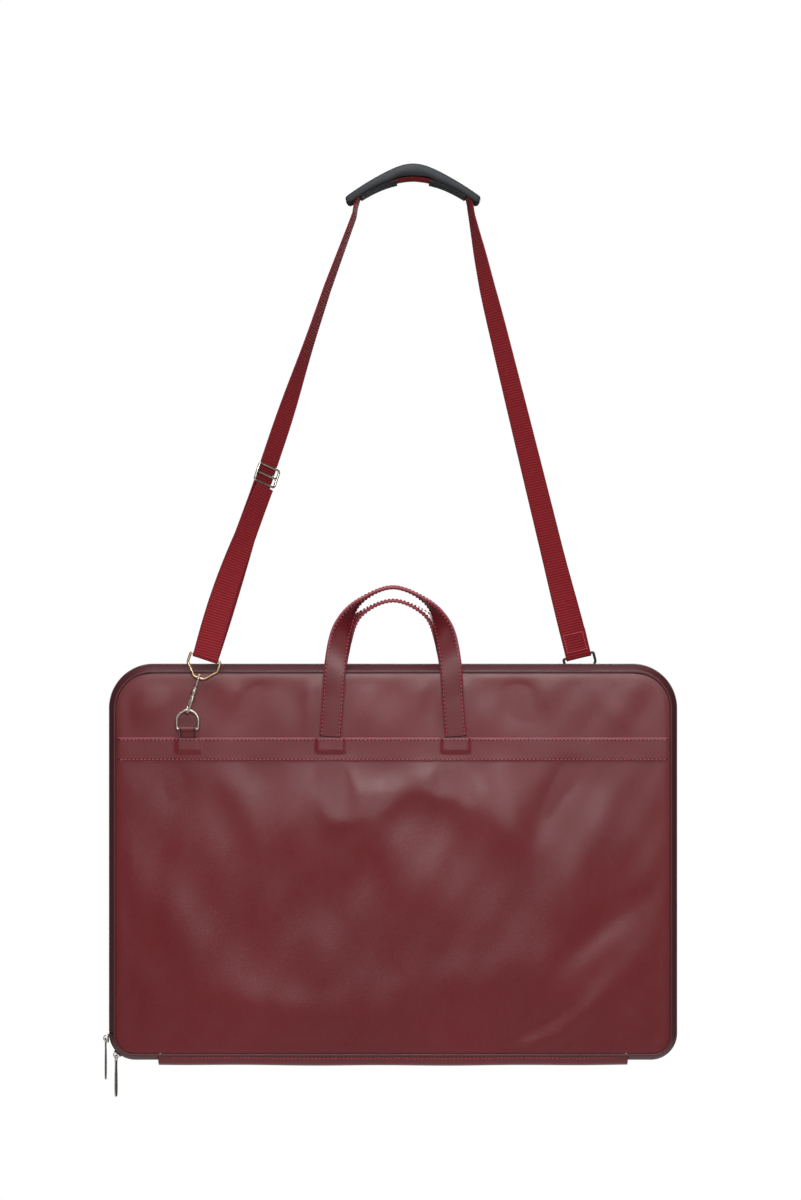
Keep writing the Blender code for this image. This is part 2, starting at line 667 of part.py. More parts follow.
clear_scene()
PARTS = bpy.data.collections.new("portfolio_case")
bpy.context.scene.collection.children.link(PARTS)
build_strap()
build_case()
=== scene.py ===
"""Looks of the leather portfolio case: leather, webbing, pad, metalwork, zip and stitching.

Metres, +Z up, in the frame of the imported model. Shapes that belong to the case are worked out
from its own corner, the bottom middle of the zip line (case_point), as the solids are.
"""

import json
import math

import bmesh
import bpy
import numpy as np
from mathutils import Matrix, Vector


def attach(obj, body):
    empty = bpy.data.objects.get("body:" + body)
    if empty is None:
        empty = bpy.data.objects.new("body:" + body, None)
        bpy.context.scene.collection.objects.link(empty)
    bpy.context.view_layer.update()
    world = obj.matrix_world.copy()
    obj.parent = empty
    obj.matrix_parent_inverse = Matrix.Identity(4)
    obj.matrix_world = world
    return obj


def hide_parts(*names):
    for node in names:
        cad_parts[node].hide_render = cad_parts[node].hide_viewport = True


# ---------------------------------------------------------------- dimensions of the solids
CASE_WIDTH, CASE_HEIGHT, CASE_HALF_DEPTH = 0.640, 0.446, 0.0225
TOP_RADIUS, BOTTOM_RADIUS = 0.050, 0.030
CASE_ORIGIN = np.array((-0.0225, 0.0, -0.991))
PANEL_INSET = 0.0105
PIPING_RADIUS, PIPING_INSET, PIPING_Y = 0.0016, 0.0086, 0.0210
SPINE_HALF = 0.263
GUSSET_FROM, GUSSET_TO, GUSSET_CURVE, GUSSET_WALL = 0.0062, 0.0191, 0.0098, 0.0014
SPINE_WALL, BAND_END, TAB_HALF, TAB_SLIT = 0.0018, 0.0020, 0.0016, 0.0002
ZIP_TAPE = ((0.0006, 0.0021), (0.0007, 0.0040), (0.0008, 0.0059), (0.0016, 0.0059),
            (0.0015, 0.0040), (0.0014, 0.0021))
CORNER_TOP, CORNER_GAP = 0.0310, 0.0012
BAND_HEIGHT, BAND_TOP, BAND_THICK = 0.027, 0.364, 0.0020
HANDLE_WIDTH, HANDLE_THICK, HANDLE_SPREAD = 0.025, 0.0036, 0.070
HANDLE_RISE = {"front": 0.086, "back": 0.071}
CLIP_Y, WIRE = 0.0310, 0.0015
D_RING_WIDTH, D_RING_X, D_RING_TOP, D_RING_BAR, D_RING_BEND = 0.027, 0.229, 0.395, 0.374, 0.0025
TAB_WIDTH, TAB_PLY, TAB_BORE = 0.0200, 0.0014, 0.0018
LINK_X, LINK_Z = 0.2165, 0.431
HOOK_TURN = 20
BOW_RADIUS, BOW_WIRE = 0.0042, 0.0013
BARREL_RADIUS, BARREL_FOOT, BARREL_TOP, NOSE = 0.0026, 0.0195, 0.0265, 0.0040
GATE_X, GATE_PIVOT, GATE_WIRE = -0.0027, 0.0165, 0.0010
EYE_RADIUS, EYE_WIRE, EYE_DROP = 0.0041, 0.0011, 0.0012
WEB_WIDTH, WEB_THICK, WEB_SPLIT, LEG_TOP = 0.029, 0.0018, 0.0600, (0.0660, -0.0400)
LEFT_TURNS = ((0.0, 0.3, 0.46, 0.64, 0.8, 0.95, 1.0), (6, 18, 38, 38, 62, 86, 90))
RIGHT_TURNS = ((0.0, 0.05, 0.2, 0.5, 0.8, 0.95, 1.0), (6, 20, 38, 50, 60, 84, 90))
RETURN_LEFT, RETURN_RIGHT = 0.203, 0.030
RING_HALF, RING_HEIGHT, RING_FOOT, RING_SHOULDER, RING_BEND = 0.0175, 0.0240, 0.0055, 0.0130, 0.002
BUCKLE_SHARE, BUCKLE_WIDTH, BUCKLE_HEIGHT, BUCKLE_WIRE = 0.59, 0.0360, 0.0200, 0.0014
PAD_LENGTH, PAD_MIDDLE, PAD_WIDTH = 0.150, 0.0095, 0.052
PAD_DROP, PAD_BEND, PAD_ROUND = 0.0335, 1.5, 0.016
PAD_EDGE, PAD_SWELL, PAD_SWELL_REACH, PAD_TAPER = 0.0064, 0.0074, 0.030, 0.22
SLIDER_LENGTH, SLIDER_WIDTH, SLIDER_THICK = 0.010, 0.0085, 0.0018
SLIDER_A_Z, SLIDER_B_ANGLE = 0.024, math.radians(229)
BAIL_WIRE, PULL_LENGTH, PULL_WIDTH, PULL_THICK = 0.0006, 0.047, 0.0062, 0.0012
PULL_BAR, PULL_OUT = 0.0006, 0.0036
GAP = 0.0003

# ---------------------------------------------------------------- dimensions of the finish
BOARD_FACE = 0.0209               # underside of the cover leather, from the zip line
LEATHER_REST = 0.0218             # outer face of the cover leather above the band
STITCH_PITCH, STITCH_LENGTH, STITCH_RADIUS = 0.0044, 0.0031, 0.00070
STITCH_INSET = 0.0025             # a row of stitches, from the strap's edge
RIB_PITCH, RIB_DEPTH, YARN_PITCH = 0.0030, 0.00016, 0.0016
EDGE_PAINT = (0.270, 0.042, 0.058)
FOLD_STRENGTH, FOLD_FADE = 2.2, 0.022
BELLY, BELLY_TOP_FADE, BELLY_SIDE_FADE = 0.0016, 0.10, 0.06   # the cover below its band
EDGE_ROLL, EDGE_ROLL_REACH = 0.0008, 0.0030
CEILING_UPPER, CEILING_LOWER = 0.0016, 0.0045   # greatest height over the case's half depth
CLEARING = 0.020                  # how softly the leather lies low beside the handles and rings
CEILING_BLEND = 0.0003            # how softly the leather meets its greatest depth
LIP_DEPTH, LIP_INNER = 0.0029, 0.0160   # the pad's lower rims, which hide the webbing's edges
GROOVE_DEPTH = 0.0005             # the two lines along the pad's top
BRIDGE_INNER, BRIDGE_OUTER, BRIDGE_WIDTH, BRIDGE_THICK = 0.018, 0.0585, 0.038, 0.0016
PLY_SHIFT = 0.0045                # how far the left leg's return ply strays sideways
TOOTH_PITCH = 0.0014

# Soft folds of a cover: middle (x, z), turn of the ridge in degrees, length, width, height.
FOLDS = (
    (0.030, 0.405, 80, 0.050, 0.012, 0.0004), (0.075, 0.400, 95, 0.045, 0.016, 0.0005),
    (-0.090, 0.405, 86, 0.040, 0.014, 0.0005), (-0.170, 0.395, 60, 0.050, 0.014, -0.0005),
    (0.150, 0.400, 105, 0.050, 0.020, -0.0005), (0.245, 0.395, 120, 0.045, 0.016, 0.0005),
    (-0.250, 0.410, 40, 0.045, 0.014, 0.0004), (0.000, 0.300, 20, 0.080, 0.022, 0.0011),
    (0.095, 0.290, -35, 0.090, 0.026, 0.0010), (-0.110, 0.285, 50, 0.090, 0.030, 0.0009),
    (0.010, 0.215, -50, 0.120, 0.034, 0.0012), (-0.060, 0.190, 35, 0.120, 0.032, -0.0009),
    (0.200, 0.200, 62, 0.090, 0.022, 0.0009), (0.235, 0.150, 40, 0.070, 0.016, -0.0008),
    (0.215, 0.060, 48, 0.060, 0.014, 0.0009), (0.170, 0.045, 30, 0.050, 0.012, -0.0006),
    (-0.060, 0.320, 78, 0.060, 0.016, 0.0008), (0.120, 0.315, 100, 0.060, 0.018, 0.0009),
    (0.180, 0.290, 65, 0.080, 0.016, -0.0008), (-0.180, 0.310, 110, 0.055, 0.018, 0.0006),
    (-0.220, 0.120, -60, 0.110, 0.030, 0.0009), (-0.255, 0.260, 80, 0.080, 0.018, -0.0007),
    (0.070, 0.090, 10, 0.130, 0.030, 0.0008), (-0.120, 0.060, -12, 0.120, 0.026, 0.0007),
)

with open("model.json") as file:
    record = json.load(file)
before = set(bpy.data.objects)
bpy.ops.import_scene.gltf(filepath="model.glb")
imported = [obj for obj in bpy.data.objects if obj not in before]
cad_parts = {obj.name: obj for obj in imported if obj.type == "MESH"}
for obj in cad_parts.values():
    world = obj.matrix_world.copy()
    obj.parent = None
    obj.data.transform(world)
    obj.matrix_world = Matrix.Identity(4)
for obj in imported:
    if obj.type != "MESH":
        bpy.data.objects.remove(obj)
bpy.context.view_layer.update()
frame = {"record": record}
BODIES = frame["record"]["behaviour"]["bodies"]
BODY_OF = {node: body for body, nodes in BODIES.items() for node in nodes}


# ---------------------------------------------------------------- materials
class Nodes:
    """Short calls for building one node material."""

    def __init__(self, name):
        self.material = bpy.data.materials.new(name)
        self.material.use_nodes = True
        self.tree = self.material.node_tree
        self.shader = self.tree.nodes["Principled BSDF"]

    def add(self, kind, **settings):
        node = self.tree.nodes.new("ShaderNode" + kind)
        for key, value in settings.items():
            setattr(node, key, value)
        return node

    def link(self, source, target):
        self.tree.links.new(source, target)

    def feed(self, value, socket):
        if isinstance(value, bpy.types.NodeSocket):
            self.link(value, socket)
        else:
            socket.default_value = value

    def math(self, operation, a, b=0.0):
        node = self.add("Math", operation=operation)
        self.feed(a, node.inputs[0])
        self.feed(b, node.inputs[1])
        return node.outputs[0]

    def plus(self, a, b):
        return self.math("ADD", a, b)

    def times(self, a, b):
        return self.math("MULTIPLY", a, b)

    def axes(self, vector):
        """The X, Y and Z of a vector."""
        node = self.add("SeparateXYZ")
        self.link(vector, node.inputs[0])
        return node.outputs

    def place(self, scale=(1, 1, 1), uv=False):
        """Coordinates in metres, on the surface (uv) or in space."""
        source = self.add("TexCoord").outputs["UV" if uv else "Object"]
        mapping = self.add("Mapping")
        mapping.inputs["Scale"].default_value = scale
        self.link(source, mapping.inputs["Vector"])
        return mapping.outputs["Vector"]

    def noise(self, vector, scale, detail):
        node = self.add("TexNoise")
        self.link(vector, node.inputs["Vector"])
        node.inputs["Scale"].default_value = scale
        node.inputs["Detail"].default_value = detail
        return node.outputs["Fac"]

    def cells(self, vector, scale, feature="F1"):
        node = self.add("TexVoronoi", feature=feature)
        self.link(vector, node.inputs["Vector"])
        node.inputs["Scale"].default_value = scale
        return node.outputs["Distance"]

    def span(self, value, low, high, start=0.0, end=1.0):
        """Value between low and high, spread from start to end and held beyond them."""
        node = self.add("MapRange")
        self.feed(value, node.inputs["Value"])
        for key, number in (("From Min", low), ("From Max", high),
                            ("To Min", start), ("To Max", end)):
            node.inputs[key].default_value = number
        return node.outputs["Result"]

    def mix(self, share, first, second):
        node = self.add("Mix", data_type="RGBA")
        self.feed(share, node.inputs["Factor"])
        for value, socket in ((first, node.inputs["A"]), (second, node.inputs["B"])):
            self.feed(value if isinstance(value, bpy.types.NodeSocket) else (*value, 1.0), socket)
        return node.outputs["Result"]

    def bump(self, height, distance, strength):
        node = self.add("Bump")
        node.inputs["Strength"].default_value = strength
        node.inputs["Distance"].default_value = distance
        self.link(height, node.inputs["Height"])
        return node.outputs["Normal"]

    def done(self, colour, rough, normal=None, **sockets):
        inputs = self.shader.inputs
        self.feed(colour, inputs["Base Color"])
        self.feed(rough, inputs["Roughness"])
        if normal:
            self.link(normal, inputs["Normal"])
        for key, value in sockets.items():
            inputs[key.replace("_", " ")].default_value = value
        return self.material


def scaled(colour, factor):
    return tuple(channel * factor for channel in colour)


def leather(name, colour, edge_half=None, rough=0.36, grain=1.0):
    """Grained leather; edge_half is half the width of a strap whose cut edges are painted."""
    n = Nodes(name)
    place = n.place()
    broad = n.noise(place, 7.0, 2.0)
    mottle = n.noise(place, 60.0, 4.0)
    pores = n.cells(place, 1500.0)
    creases = n.cells(place, 620.0, "DISTANCE_TO_EDGE")
    base = n.mix(n.span(broad, 0.35, 0.65), scaled(colour, 0.95), scaled(colour, 1.05))
    base = n.mix(n.span(mottle, 0.25, 0.80, 0.0, 0.10), base, scaled(colour, 0.85))
    roughness = n.span(mottle, 0.3, 0.7, rough - 0.02, rough + 0.03)
    if edge_half:
        reach = n.math("ABSOLUTE", n.axes(n.place(uv=True))["Y"])
        paint = n.span(reach, edge_half - 0.0011, edge_half - 0.0005)
        base = n.mix(paint, base, EDGE_PAINT)
        # painted shade: a near-black line along each row of stitches, for the shade in the stitch
        # groove between the dashes
        seam_shade_reach = n.math("ABSOLUTE", n.math("SUBTRACT", reach, edge_half - STITCH_INSET))
        base = n.mix(n.span(seam_shade_reach, 0.0007, 0.0013, 0.98, 0.0), base, scaled(colour, 0.06))
        roughness = n.plus(roughness, n.span(paint, 0.0, 1.0, 0.0, 0.12))
    height = n.plus(n.times(n.span(creases, 0.0, 0.16), 0.7), n.times(pores, 0.5))
    normal = n.bump(height, 0.00010 * grain, 0.45)
    return n.done(base, roughness, normal, Specular_IOR_Level=0.42, Coat_Weight=0.06,
                  Coat_Roughness=0.30)


def webbing(name, colour, half):
    """Ribbed webbing; painted shade in its rib hollows and edges, painted highlight on its yarns.
    """
    n = Nodes(name)
    along, across, _ = n.axes(n.place(uv=True))
    rib = n.math("SINE", n.times(along, 2 * math.pi / RIB_PITCH))
    slant = n.plus(n.times(across, 2 * math.pi / YARN_PITCH), n.times(along, math.pi / RIB_PITCH))
    thread = n.math("SINE", slant)
    edge = n.span(n.math("ABSOLUTE", across), half - 0.0022, half - 0.0010)
    wear = n.noise(n.place(), 45.0, 3.0)
    fibre = n.noise(n.place(), 2600.0, 2.0)
    # painted shade: the hollows between the ribs are darkened
    base = n.mix(n.span(rib, -0.9, 0.3), scaled(colour, 0.30), colour)
    # painted highlight: the crests of the slanting yarns are lightened
    base = n.mix(n.span(thread, -0.2, 1.0, 0.0, 0.35), base, scaled(colour, 1.55))
    base = n.mix(n.span(wear, 0.35, 0.65, 0.0, 0.30), base, scaled(colour, 0.70))
    # painted shade: both edges are darkened, where the rounded selvedges turn away from the light
    base = n.mix(n.times(edge, 0.40), base, scaled(colour, 0.45))
    height = n.plus(n.times(rib, 0.5), n.times(thread, 0.5))
    height = n.plus(height, n.times(fibre, 0.5))
    return n.done(base, n.span(fibre, 0.3, 0.7, 0.62, 0.82), n.bump(height, 0.00016, 0.9),
                  Specular_IOR_Level=0.18, Sheen_Weight=0.04, Sheen_Roughness=0.45)


def cloth(name, colour, pitch):
    """Plain weave, laid by position in space."""
    n = Nodes(name)
    place = n.place()
    x, y, z = n.axes(place)
    turn = 2 * math.pi / pitch
    warp = n.math("SINE", n.times(n.plus(x, y), turn))
    weft = n.math("SINE", n.times(z, turn))
    weave = n.times(warp, weft)
    wear = n.noise(place, 40.0, 4.0)
    # painted shade and painted highlight: the weave's hollows are darkened and its crossings
    # lightened, following its bump
    base = n.mix(n.span(weave, -1.0, 1.0), scaled(colour, 0.62), scaled(colour, 1.18))
    base = n.mix(n.span(wear, 0.35, 0.7, 0.0, 0.4), base, scaled(colour, 0.65))
    return n.done(base, n.span(wear, 0.3, 0.7, 0.72, 0.88), n.bump(weave, 0.00008, 0.7),
                  Sheen_Weight=0.15, Sheen_Roughness=0.5)


def metal(name, colour, rough, dirt=0.5):
    """Plated metal with fine scratches and duller patches."""
    n = Nodes(name)
    place = n.place()
    dull = n.noise(place, 140.0, 5.0)
    scratch = n.noise(n.place((300, 3000, 900)), 1.0, 3.0)
    base = n.mix(n.span(dull, 0.45, 0.7, 0.0, dirt), colour, scaled(colour, 0.55))
    roughness = n.plus(n.span(dull, 0.3, 0.7, rough - 0.04, rough + 0.12),
                       n.span(scratch, 0.5, 0.75, 0.0, 0.10))
    return n.done(base, roughness, n.bump(scratch, 0.00003, 0.35), Metallic=1.0)


def rubber(name, colour, rough=0.55):
    n = Nodes(name)
    place = n.place()
    grain = n.cells(place, 1400.0)
    dust = n.noise(place, 30.0, 5.0)
    base = n.mix(n.span(dust, 0.4, 0.7, 0.0, 0.6), colour, scaled(colour, 1.7))
    return n.done(base, n.span(dust, 0.3, 0.7, rough - 0.06, rough + 0.10),
                  n.bump(grain, 0.00012, 0.5), Specular_IOR_Level=0.45)


def board_fibre(name, colour):
    n = Nodes(name)
    fibre = n.noise(n.place((1, 1, 14)), 220.0, 5.0)
    base = n.mix(n.span(fibre, 0.35, 0.65), scaled(colour, 0.7), scaled(colour, 1.1))
    return n.done(base, 0.9, n.bump(fibre, 0.0001, 0.5))


OXBLOOD = (0.128, 0.0085, 0.0125)
MATERIALS = {
    "leather": leather("oxblood_leather", OXBLOOD),
    "edge_leather": leather("binding_leather", (0.072, 0.0110, 0.0135), None, 0.50, 0.7),
    "band": leather("band_leather", OXBLOOD, BAND_HEIGHT / 2),
    "handle": leather("handle_leather", scaled(OXBLOOD, 0.92), HANDLE_WIDTH / 2),
    "tab": leather("tab_leather", OXBLOOD, TAB_WIDTH / 2),
    "webbing": webbing("crimson_webbing", (0.265, 0.0135, 0.0195), WEB_WIDTH / 2),
    "zip_fabric": cloth("zip_tape_weave", (0.060, 0.018, 0.020), 0.0007),
    "zip_teeth": rubber("zip_coil", (0.075, 0.030, 0.026), 0.38),
    "board": board_fibre("grey_board", (0.300, 0.260, 0.210)),
    "lining": cloth("lining_weave", (0.026, 0.024, 0.026), 0.0009),
    "pad_rubber": rubber("slate_rubber", (0.011, 0.014, 0.018)),
    # painted light: a lighter copy of the pad rubber, for its faces that point down
    "pad_painted_light": rubber("slate_rubber_painted_light", (0.030, 0.034, 0.038), 0.7),
    "nickel": metal("satin_nickel", (0.60, 0.555, 0.475), 0.24),
    "brass": metal("antique_brass", (0.42, 0.315, 0.185), 0.28),
    # painted shade: a near-black copy of the nickel, for the right strap ring lying in shade
    "dark_metal": metal("gunmetal", (0.050, 0.046, 0.044), 0.34),
    "thread": cloth("crimson_thread", (0.560, 0.040, 0.070), 0.0005),
}


# ---------------------------------------------------------------- mesh helpers
def placed(name, data):
    """A new object in the scene."""
    obj = bpy.data.objects.new(name, data)
    bpy.context.scene.collection.objects.link(obj)
    return obj


def new_object(name, points, faces, finish, uvs=None):
    mesh = bpy.data.meshes.new(name)
    mesh.from_pydata([tuple(p) for p in points], [], faces)
    if uvs is not None:
        layer = mesh.uv_layers.new(name="UVMap")
        layer.data.foreach_set("uv", np.asarray(uvs, np.float32).ravel())
    mesh.materials.append(MATERIALS[finish])
    work = bmesh.new()
    work.from_mesh(mesh)
    bmesh.ops.recalc_face_normals(work, faces=work.faces)
    work.to_mesh(mesh)
    work.free()
    mesh.shade_smooth()
    mesh.set_sharp_from_angle(angle=math.radians(50))
    return placed(name, mesh)


def stands_for(obj, *nodes):
    """The piece takes the place of its CAD nodes, on their body."""
    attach(obj, BODY_OF[nodes[0]])
    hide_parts(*nodes)
    return obj


def goes_with(obj, node):
    """A small extra piece on the body of a CAD node, such as a row of stitches."""
    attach(obj, BODY_OF[node])
    return obj


def grid(rows, count, closed=True):
    """Four-sided faces between rows of points; closed joins the ends of each row."""
    faces = []
    for i in range(rows - 1):
        for j in range(count if closed else count - 1):
            k = (j + 1) % count
            faces.append((i * count + j, i * count + k, (i + 1) * count + k, (i + 1) * count + j))
    return faces


def skin(name, rings, finish, along=None, around=None, loop=False):
    """A surface through rings of points, each ring closed; its ends are capped unless it loops."""
    rings = np.asarray(rings, float)
    rows, count = rings.shape[:2]
    if along is None:
        along = lengths(rings.mean(axis=1), closed=True)
    if around is None:
        around = lengths(rings[0], closed=True)
    else:
        around = np.append(around, around[0])
    faces, uvs = [], []
    for i in range(rows if loop else rows - 1):
        k = (i + 1) % rows
        for j in range(count):
            m = (j + 1) % count
            faces.append((i * count + j, i * count + m, k * count + m, k * count + j))
            uvs += [(along[i], around[j]), (along[i], around[j + 1]),
                    (along[i + 1], around[j + 1]), (along[i + 1], around[j])]
    if not loop:
        for row in (0, rows - 1):
            faces.append(tuple(row * count + j for j in range(count)))
            uvs += [(along[row], around[j]) for j in range(count)]
    return new_object(name, rings.reshape(-1, 3), faces, finish, uvs)


def lengths(points, closed=False):
    """How far along a path each of its points is, back to the first one if it is closed."""
    more = {"append": points[:1]} if closed else {}
    steps = np.linalg.norm(np.diff(points, axis=0, **more), axis=1)
    return np.concatenate([[0.0], np.cumsum(steps)])


def unit(vectors):
    vectors = np.asarray(vectors, float)
    return vectors / np.linalg.norm(vectors, axis=-1, keepdims=True)


def directions(points, loop=False):
    if loop:
        return unit(np.roll(points, -1, axis=0) - np.roll(points, 1, axis=0))
    return unit(np.gradient(points, axis=0))


def squared(across, along):
    """Width directions made square to the way along."""
    return unit(across - along * np.sum(across * along, axis=1)[:, None])


def tube(name, points, radius, finish, loop=False, sides=14):
    """A round wire; radius is one number or one for each point."""
    points = np.asarray(points, float)
    radii = np.broadcast_to(radius, len(points))
    along = directions(points, loop)
    normal = unit(np.cross(along[0], (0.31, 0.52, 0.79)))
    turns = np.linspace(0, 2 * math.pi, sides, endpoint=False)
    rings = []
    for point, way, size in zip(points, along, radii):
        normal = unit(normal - way * np.dot(normal, way))
        other = np.cross(way, normal)
        rings.append(point + size * (np.outer(np.cos(turns), normal)
                                     + np.outer(np.sin(turns), other)))
    return skin(name, rings, finish, loop=loop)


def smooth_route(points, steps):
    """Points along a smooth curve through the given ones (Catmull-Rom)."""
    knots = [np.array(p, float) for p in points]
    knots = [2 * knots[0] - knots[1], *knots, 2 * knots[-1] - knots[-2]]
    found = []
    for a, b, c, d in zip(knots, knots[1:], knots[2:], knots[3:]):
        for t in np.arange(steps) / steps:
            found.append(0.5 * (2 * b + (c - a) * t + (2 * a - 5 * b + 4 * c - d) * t ** 2
                                + (3 * b - a - 3 * c + d) * t ** 3))
    found.append(knots[-2])
    return np.array(found)


def resampled(points, values, pitch):
    """Points at an even pitch along a path, with the values that go with them."""
    reach = lengths(points)
    wanted = np.linspace(0, reach[-1], max(int(reach[-1] / pitch), 2) + 1)

    def read(rows):
        return np.stack([np.interp(wanted, reach, column) for column in np.asarray(rows).T], axis=1)

    return read(points), unit(read(values)), wanted


def arc(centre, radius, start, end, steps):
    angles = np.radians(np.linspace(start, end, steps + 1))
    return [(centre[0] + radius * math.cos(a), centre[1] + radius * math.sin(a)) for a in angles]


def rounded_rectangle(width, height, radius, steps=5):
    corners = ((1, 1, 0), (-1, 1, 90), (-1, -1, 180), (1, -1, 270))
    points = []
    for side_x, side_z, start in corners:
        centre = (side_x * (width / 2 - radius), side_z * (height / 2 - radius))
        points += arc(centre, radius, start, start + 90, steps)
    return points


def strap_section(width, thick, crown=0.0, steps=10):
    """Round-edged strap section as (across, out) points; crown lifts the outer face's middle."""
    edge = thick / 2
    flat = width / 2 - edge
    outer = [(a, edge + crown * (1 - (a / flat) ** 2)) for a in np.linspace(flat, -flat, steps)]
    left = [(-flat - edge * math.sin(t), edge * math.cos(t)) for t in np.linspace(0, math.pi, 7)]
    inner = [(a, -edge) for a in np.linspace(-flat, flat, steps)]
    right = [(flat + edge * math.sin(t), -edge * math.cos(t)) for t in np.linspace(0, math.pi, 7)]
    return np.array(outer + left[1:-1] + inner + right[1:-1])


def strap_rings(route, across, out, section, scale=None):
    rings = []
    for i, (centre, side, face) in enumerate(zip(route, across, out)):
        wide, thick = scale[i] if scale is not None else (1.0, 1.0)
        rings.append(centre + np.outer(section[:, 0] * wide, side)
                     + np.outer(section[:, 1] * thick, face))
    return rings


def laid(origin, first, second, points):
    """Flat points laid into space along two directions."""
    return [origin + first * a + second * b for a, b in points]


def repeated(name, unit_points, unit_faces, frames, finish):
    """Copies of a small shape, each at (place, x, y, z directions), as one mesh."""
    points, faces = [], []
    for index, (spot, x, y, z) in enumerate(frames):
        points.append(spot + unit_points @ np.array((x, y, z)))
        faces += [tuple(i + index * len(unit_points) for i in face) for face in unit_faces]
    return new_object(name, np.concatenate(points), faces, finish)


def capsule(length, radius, rings=5, sides=6):
    """A stitch lying along X: a thread that dips into its holes at both ends."""
    points = []
    for t in np.linspace(-1, 1, rings):
        swell = radius * math.sqrt(max(1 - 0.80 * t * t, 0.0))
        for a in np.linspace(0, 2 * math.pi, sides, endpoint=False):
            points.append((t * length / 2, swell * math.cos(a),
                           swell * math.sin(a) - radius * 0.9 * t * t))
    ends = [tuple(range(sides)), tuple((rings - 1) * sides + j for j in range(sides))]
    return np.array(points), grid(rings, sides) + ends


def stitch_row(name, points, normals, node, pitch=STITCH_PITCH):
    """Stitches along a line on a surface, each lying on it with its ends sunk."""
    places, out, _ = resampled(np.asarray(points, float), np.asarray(normals, float), pitch)
    along = directions(places)
    frames = []
    for spot, way, face in zip(places, along, out):
        side = unit(np.cross(face, way))
        frames.append((spot + face * STITCH_RADIUS * 0.50, way, side, np.cross(way, side)))
    thread, faces = capsule(STITCH_LENGTH, STITCH_RADIUS)
    return goes_with(repeated(name, thread, faces, frames, "thread"), node)


# ---------------------------------------------------------------- the case's outline
def case_point(x, y, z):
    return CASE_ORIGIN + np.array((x, y, z))


def corner_stations(centre_x, centre_z, radius, start, end, steps):
    found = []
    for angle in np.radians(np.linspace(start, end, steps + 1)):
        normal = (math.cos(angle), math.sin(angle))
        found.append(((centre_x + radius * normal[0], centre_z + radius * normal[1]), normal))
    return found


def case_corners():
    side, low, high = CASE_WIDTH / 2, BOTTOM_RADIUS, TOP_RADIUS
    return (
        corner_stations(-side + low, low, low, 270, 180, 20),
        corner_stations(-side + high, CASE_HEIGHT - high, high, 180, 90, 30),
        corner_stations(side - high, CASE_HEIGHT - high, high, 90, 0, 30),
        corner_stations(side - low, low, low, 0, -90, 20),
    )


def closed_outline():
    return [station for corner in case_corners() for station in corner]


def zip_path():
    corners = case_corners()
    start = ((-CASE_WIDTH / 2, CORNER_TOP + CORNER_GAP), (-1.0, 0.0))
    end = ((SPINE_HALF + CORNER_GAP, 0.0), (0.0, -1.0))
    return [start, *corners[1], *corners[2], *corners[3], end]


def closed_corner_path():
    start = ((-SPINE_HALF - CORNER_GAP, 0.0), (0.0, -1.0))
    end = ((-CASE_WIDTH / 2, CORNER_TOP), (-1.0, 0.0))
    return [start, *case_corners()[0], end]


def filled(stations, pitch):
    """The same stations with more of them along the straight stretches."""
    found = [stations[0]]
    for (p, n), (q, m) in zip(stations, stations[1:]):
        count = max(int(math.dist(p, q) / pitch), 1)
        for t in np.linspace(0, 1, count + 1)[1:]:
            normal = unit(np.array(n) * (1 - t) + np.array(m) * t)
            found.append(((p[0] + (q[0] - p[0]) * t, p[1] + (q[1] - p[1]) * t), tuple(normal)))
    return found


def swept(stations, section, side):
    return [[case_point(p[0] - inset * n[0], side * y, p[1] - inset * n[1])
             for inset, y in section] for p, n in stations]


def wall_section(line, thickness):
    points = np.array(line)
    along = unit(np.gradient(points, axis=0))
    inner = points + thickness * np.stack([along[:, 1], -along[:, 0]], axis=1)
    return [tuple(p) for p in points] + [tuple(p) for p in inner[::-1]]


def edge_distance(x, z):
    """How far inside the outline of a cover a point lies."""
    half = CASE_WIDTH / 2 - PANEL_INSET
    middle = CASE_HEIGHT / 2
    tall = middle - PANEL_INSET
    radius = np.where(z > middle, TOP_RADIUS, BOTTOM_RADIUS) - PANEL_INSET
    qx = np.abs(x) - (half - radius)
    qz = np.abs(z - middle) - (tall - radius)
    outside = np.hypot(np.maximum(qx, 0), np.maximum(qz, 0))
    return radius - outside - np.minimum(np.maximum(qx, qz), 0)


def smooth_step(value):
    """0 to 1, easing in and out, and held beyond both ends."""
    t = np.clip(value, 0, 1)
    return t * t * (3 - 2 * t)


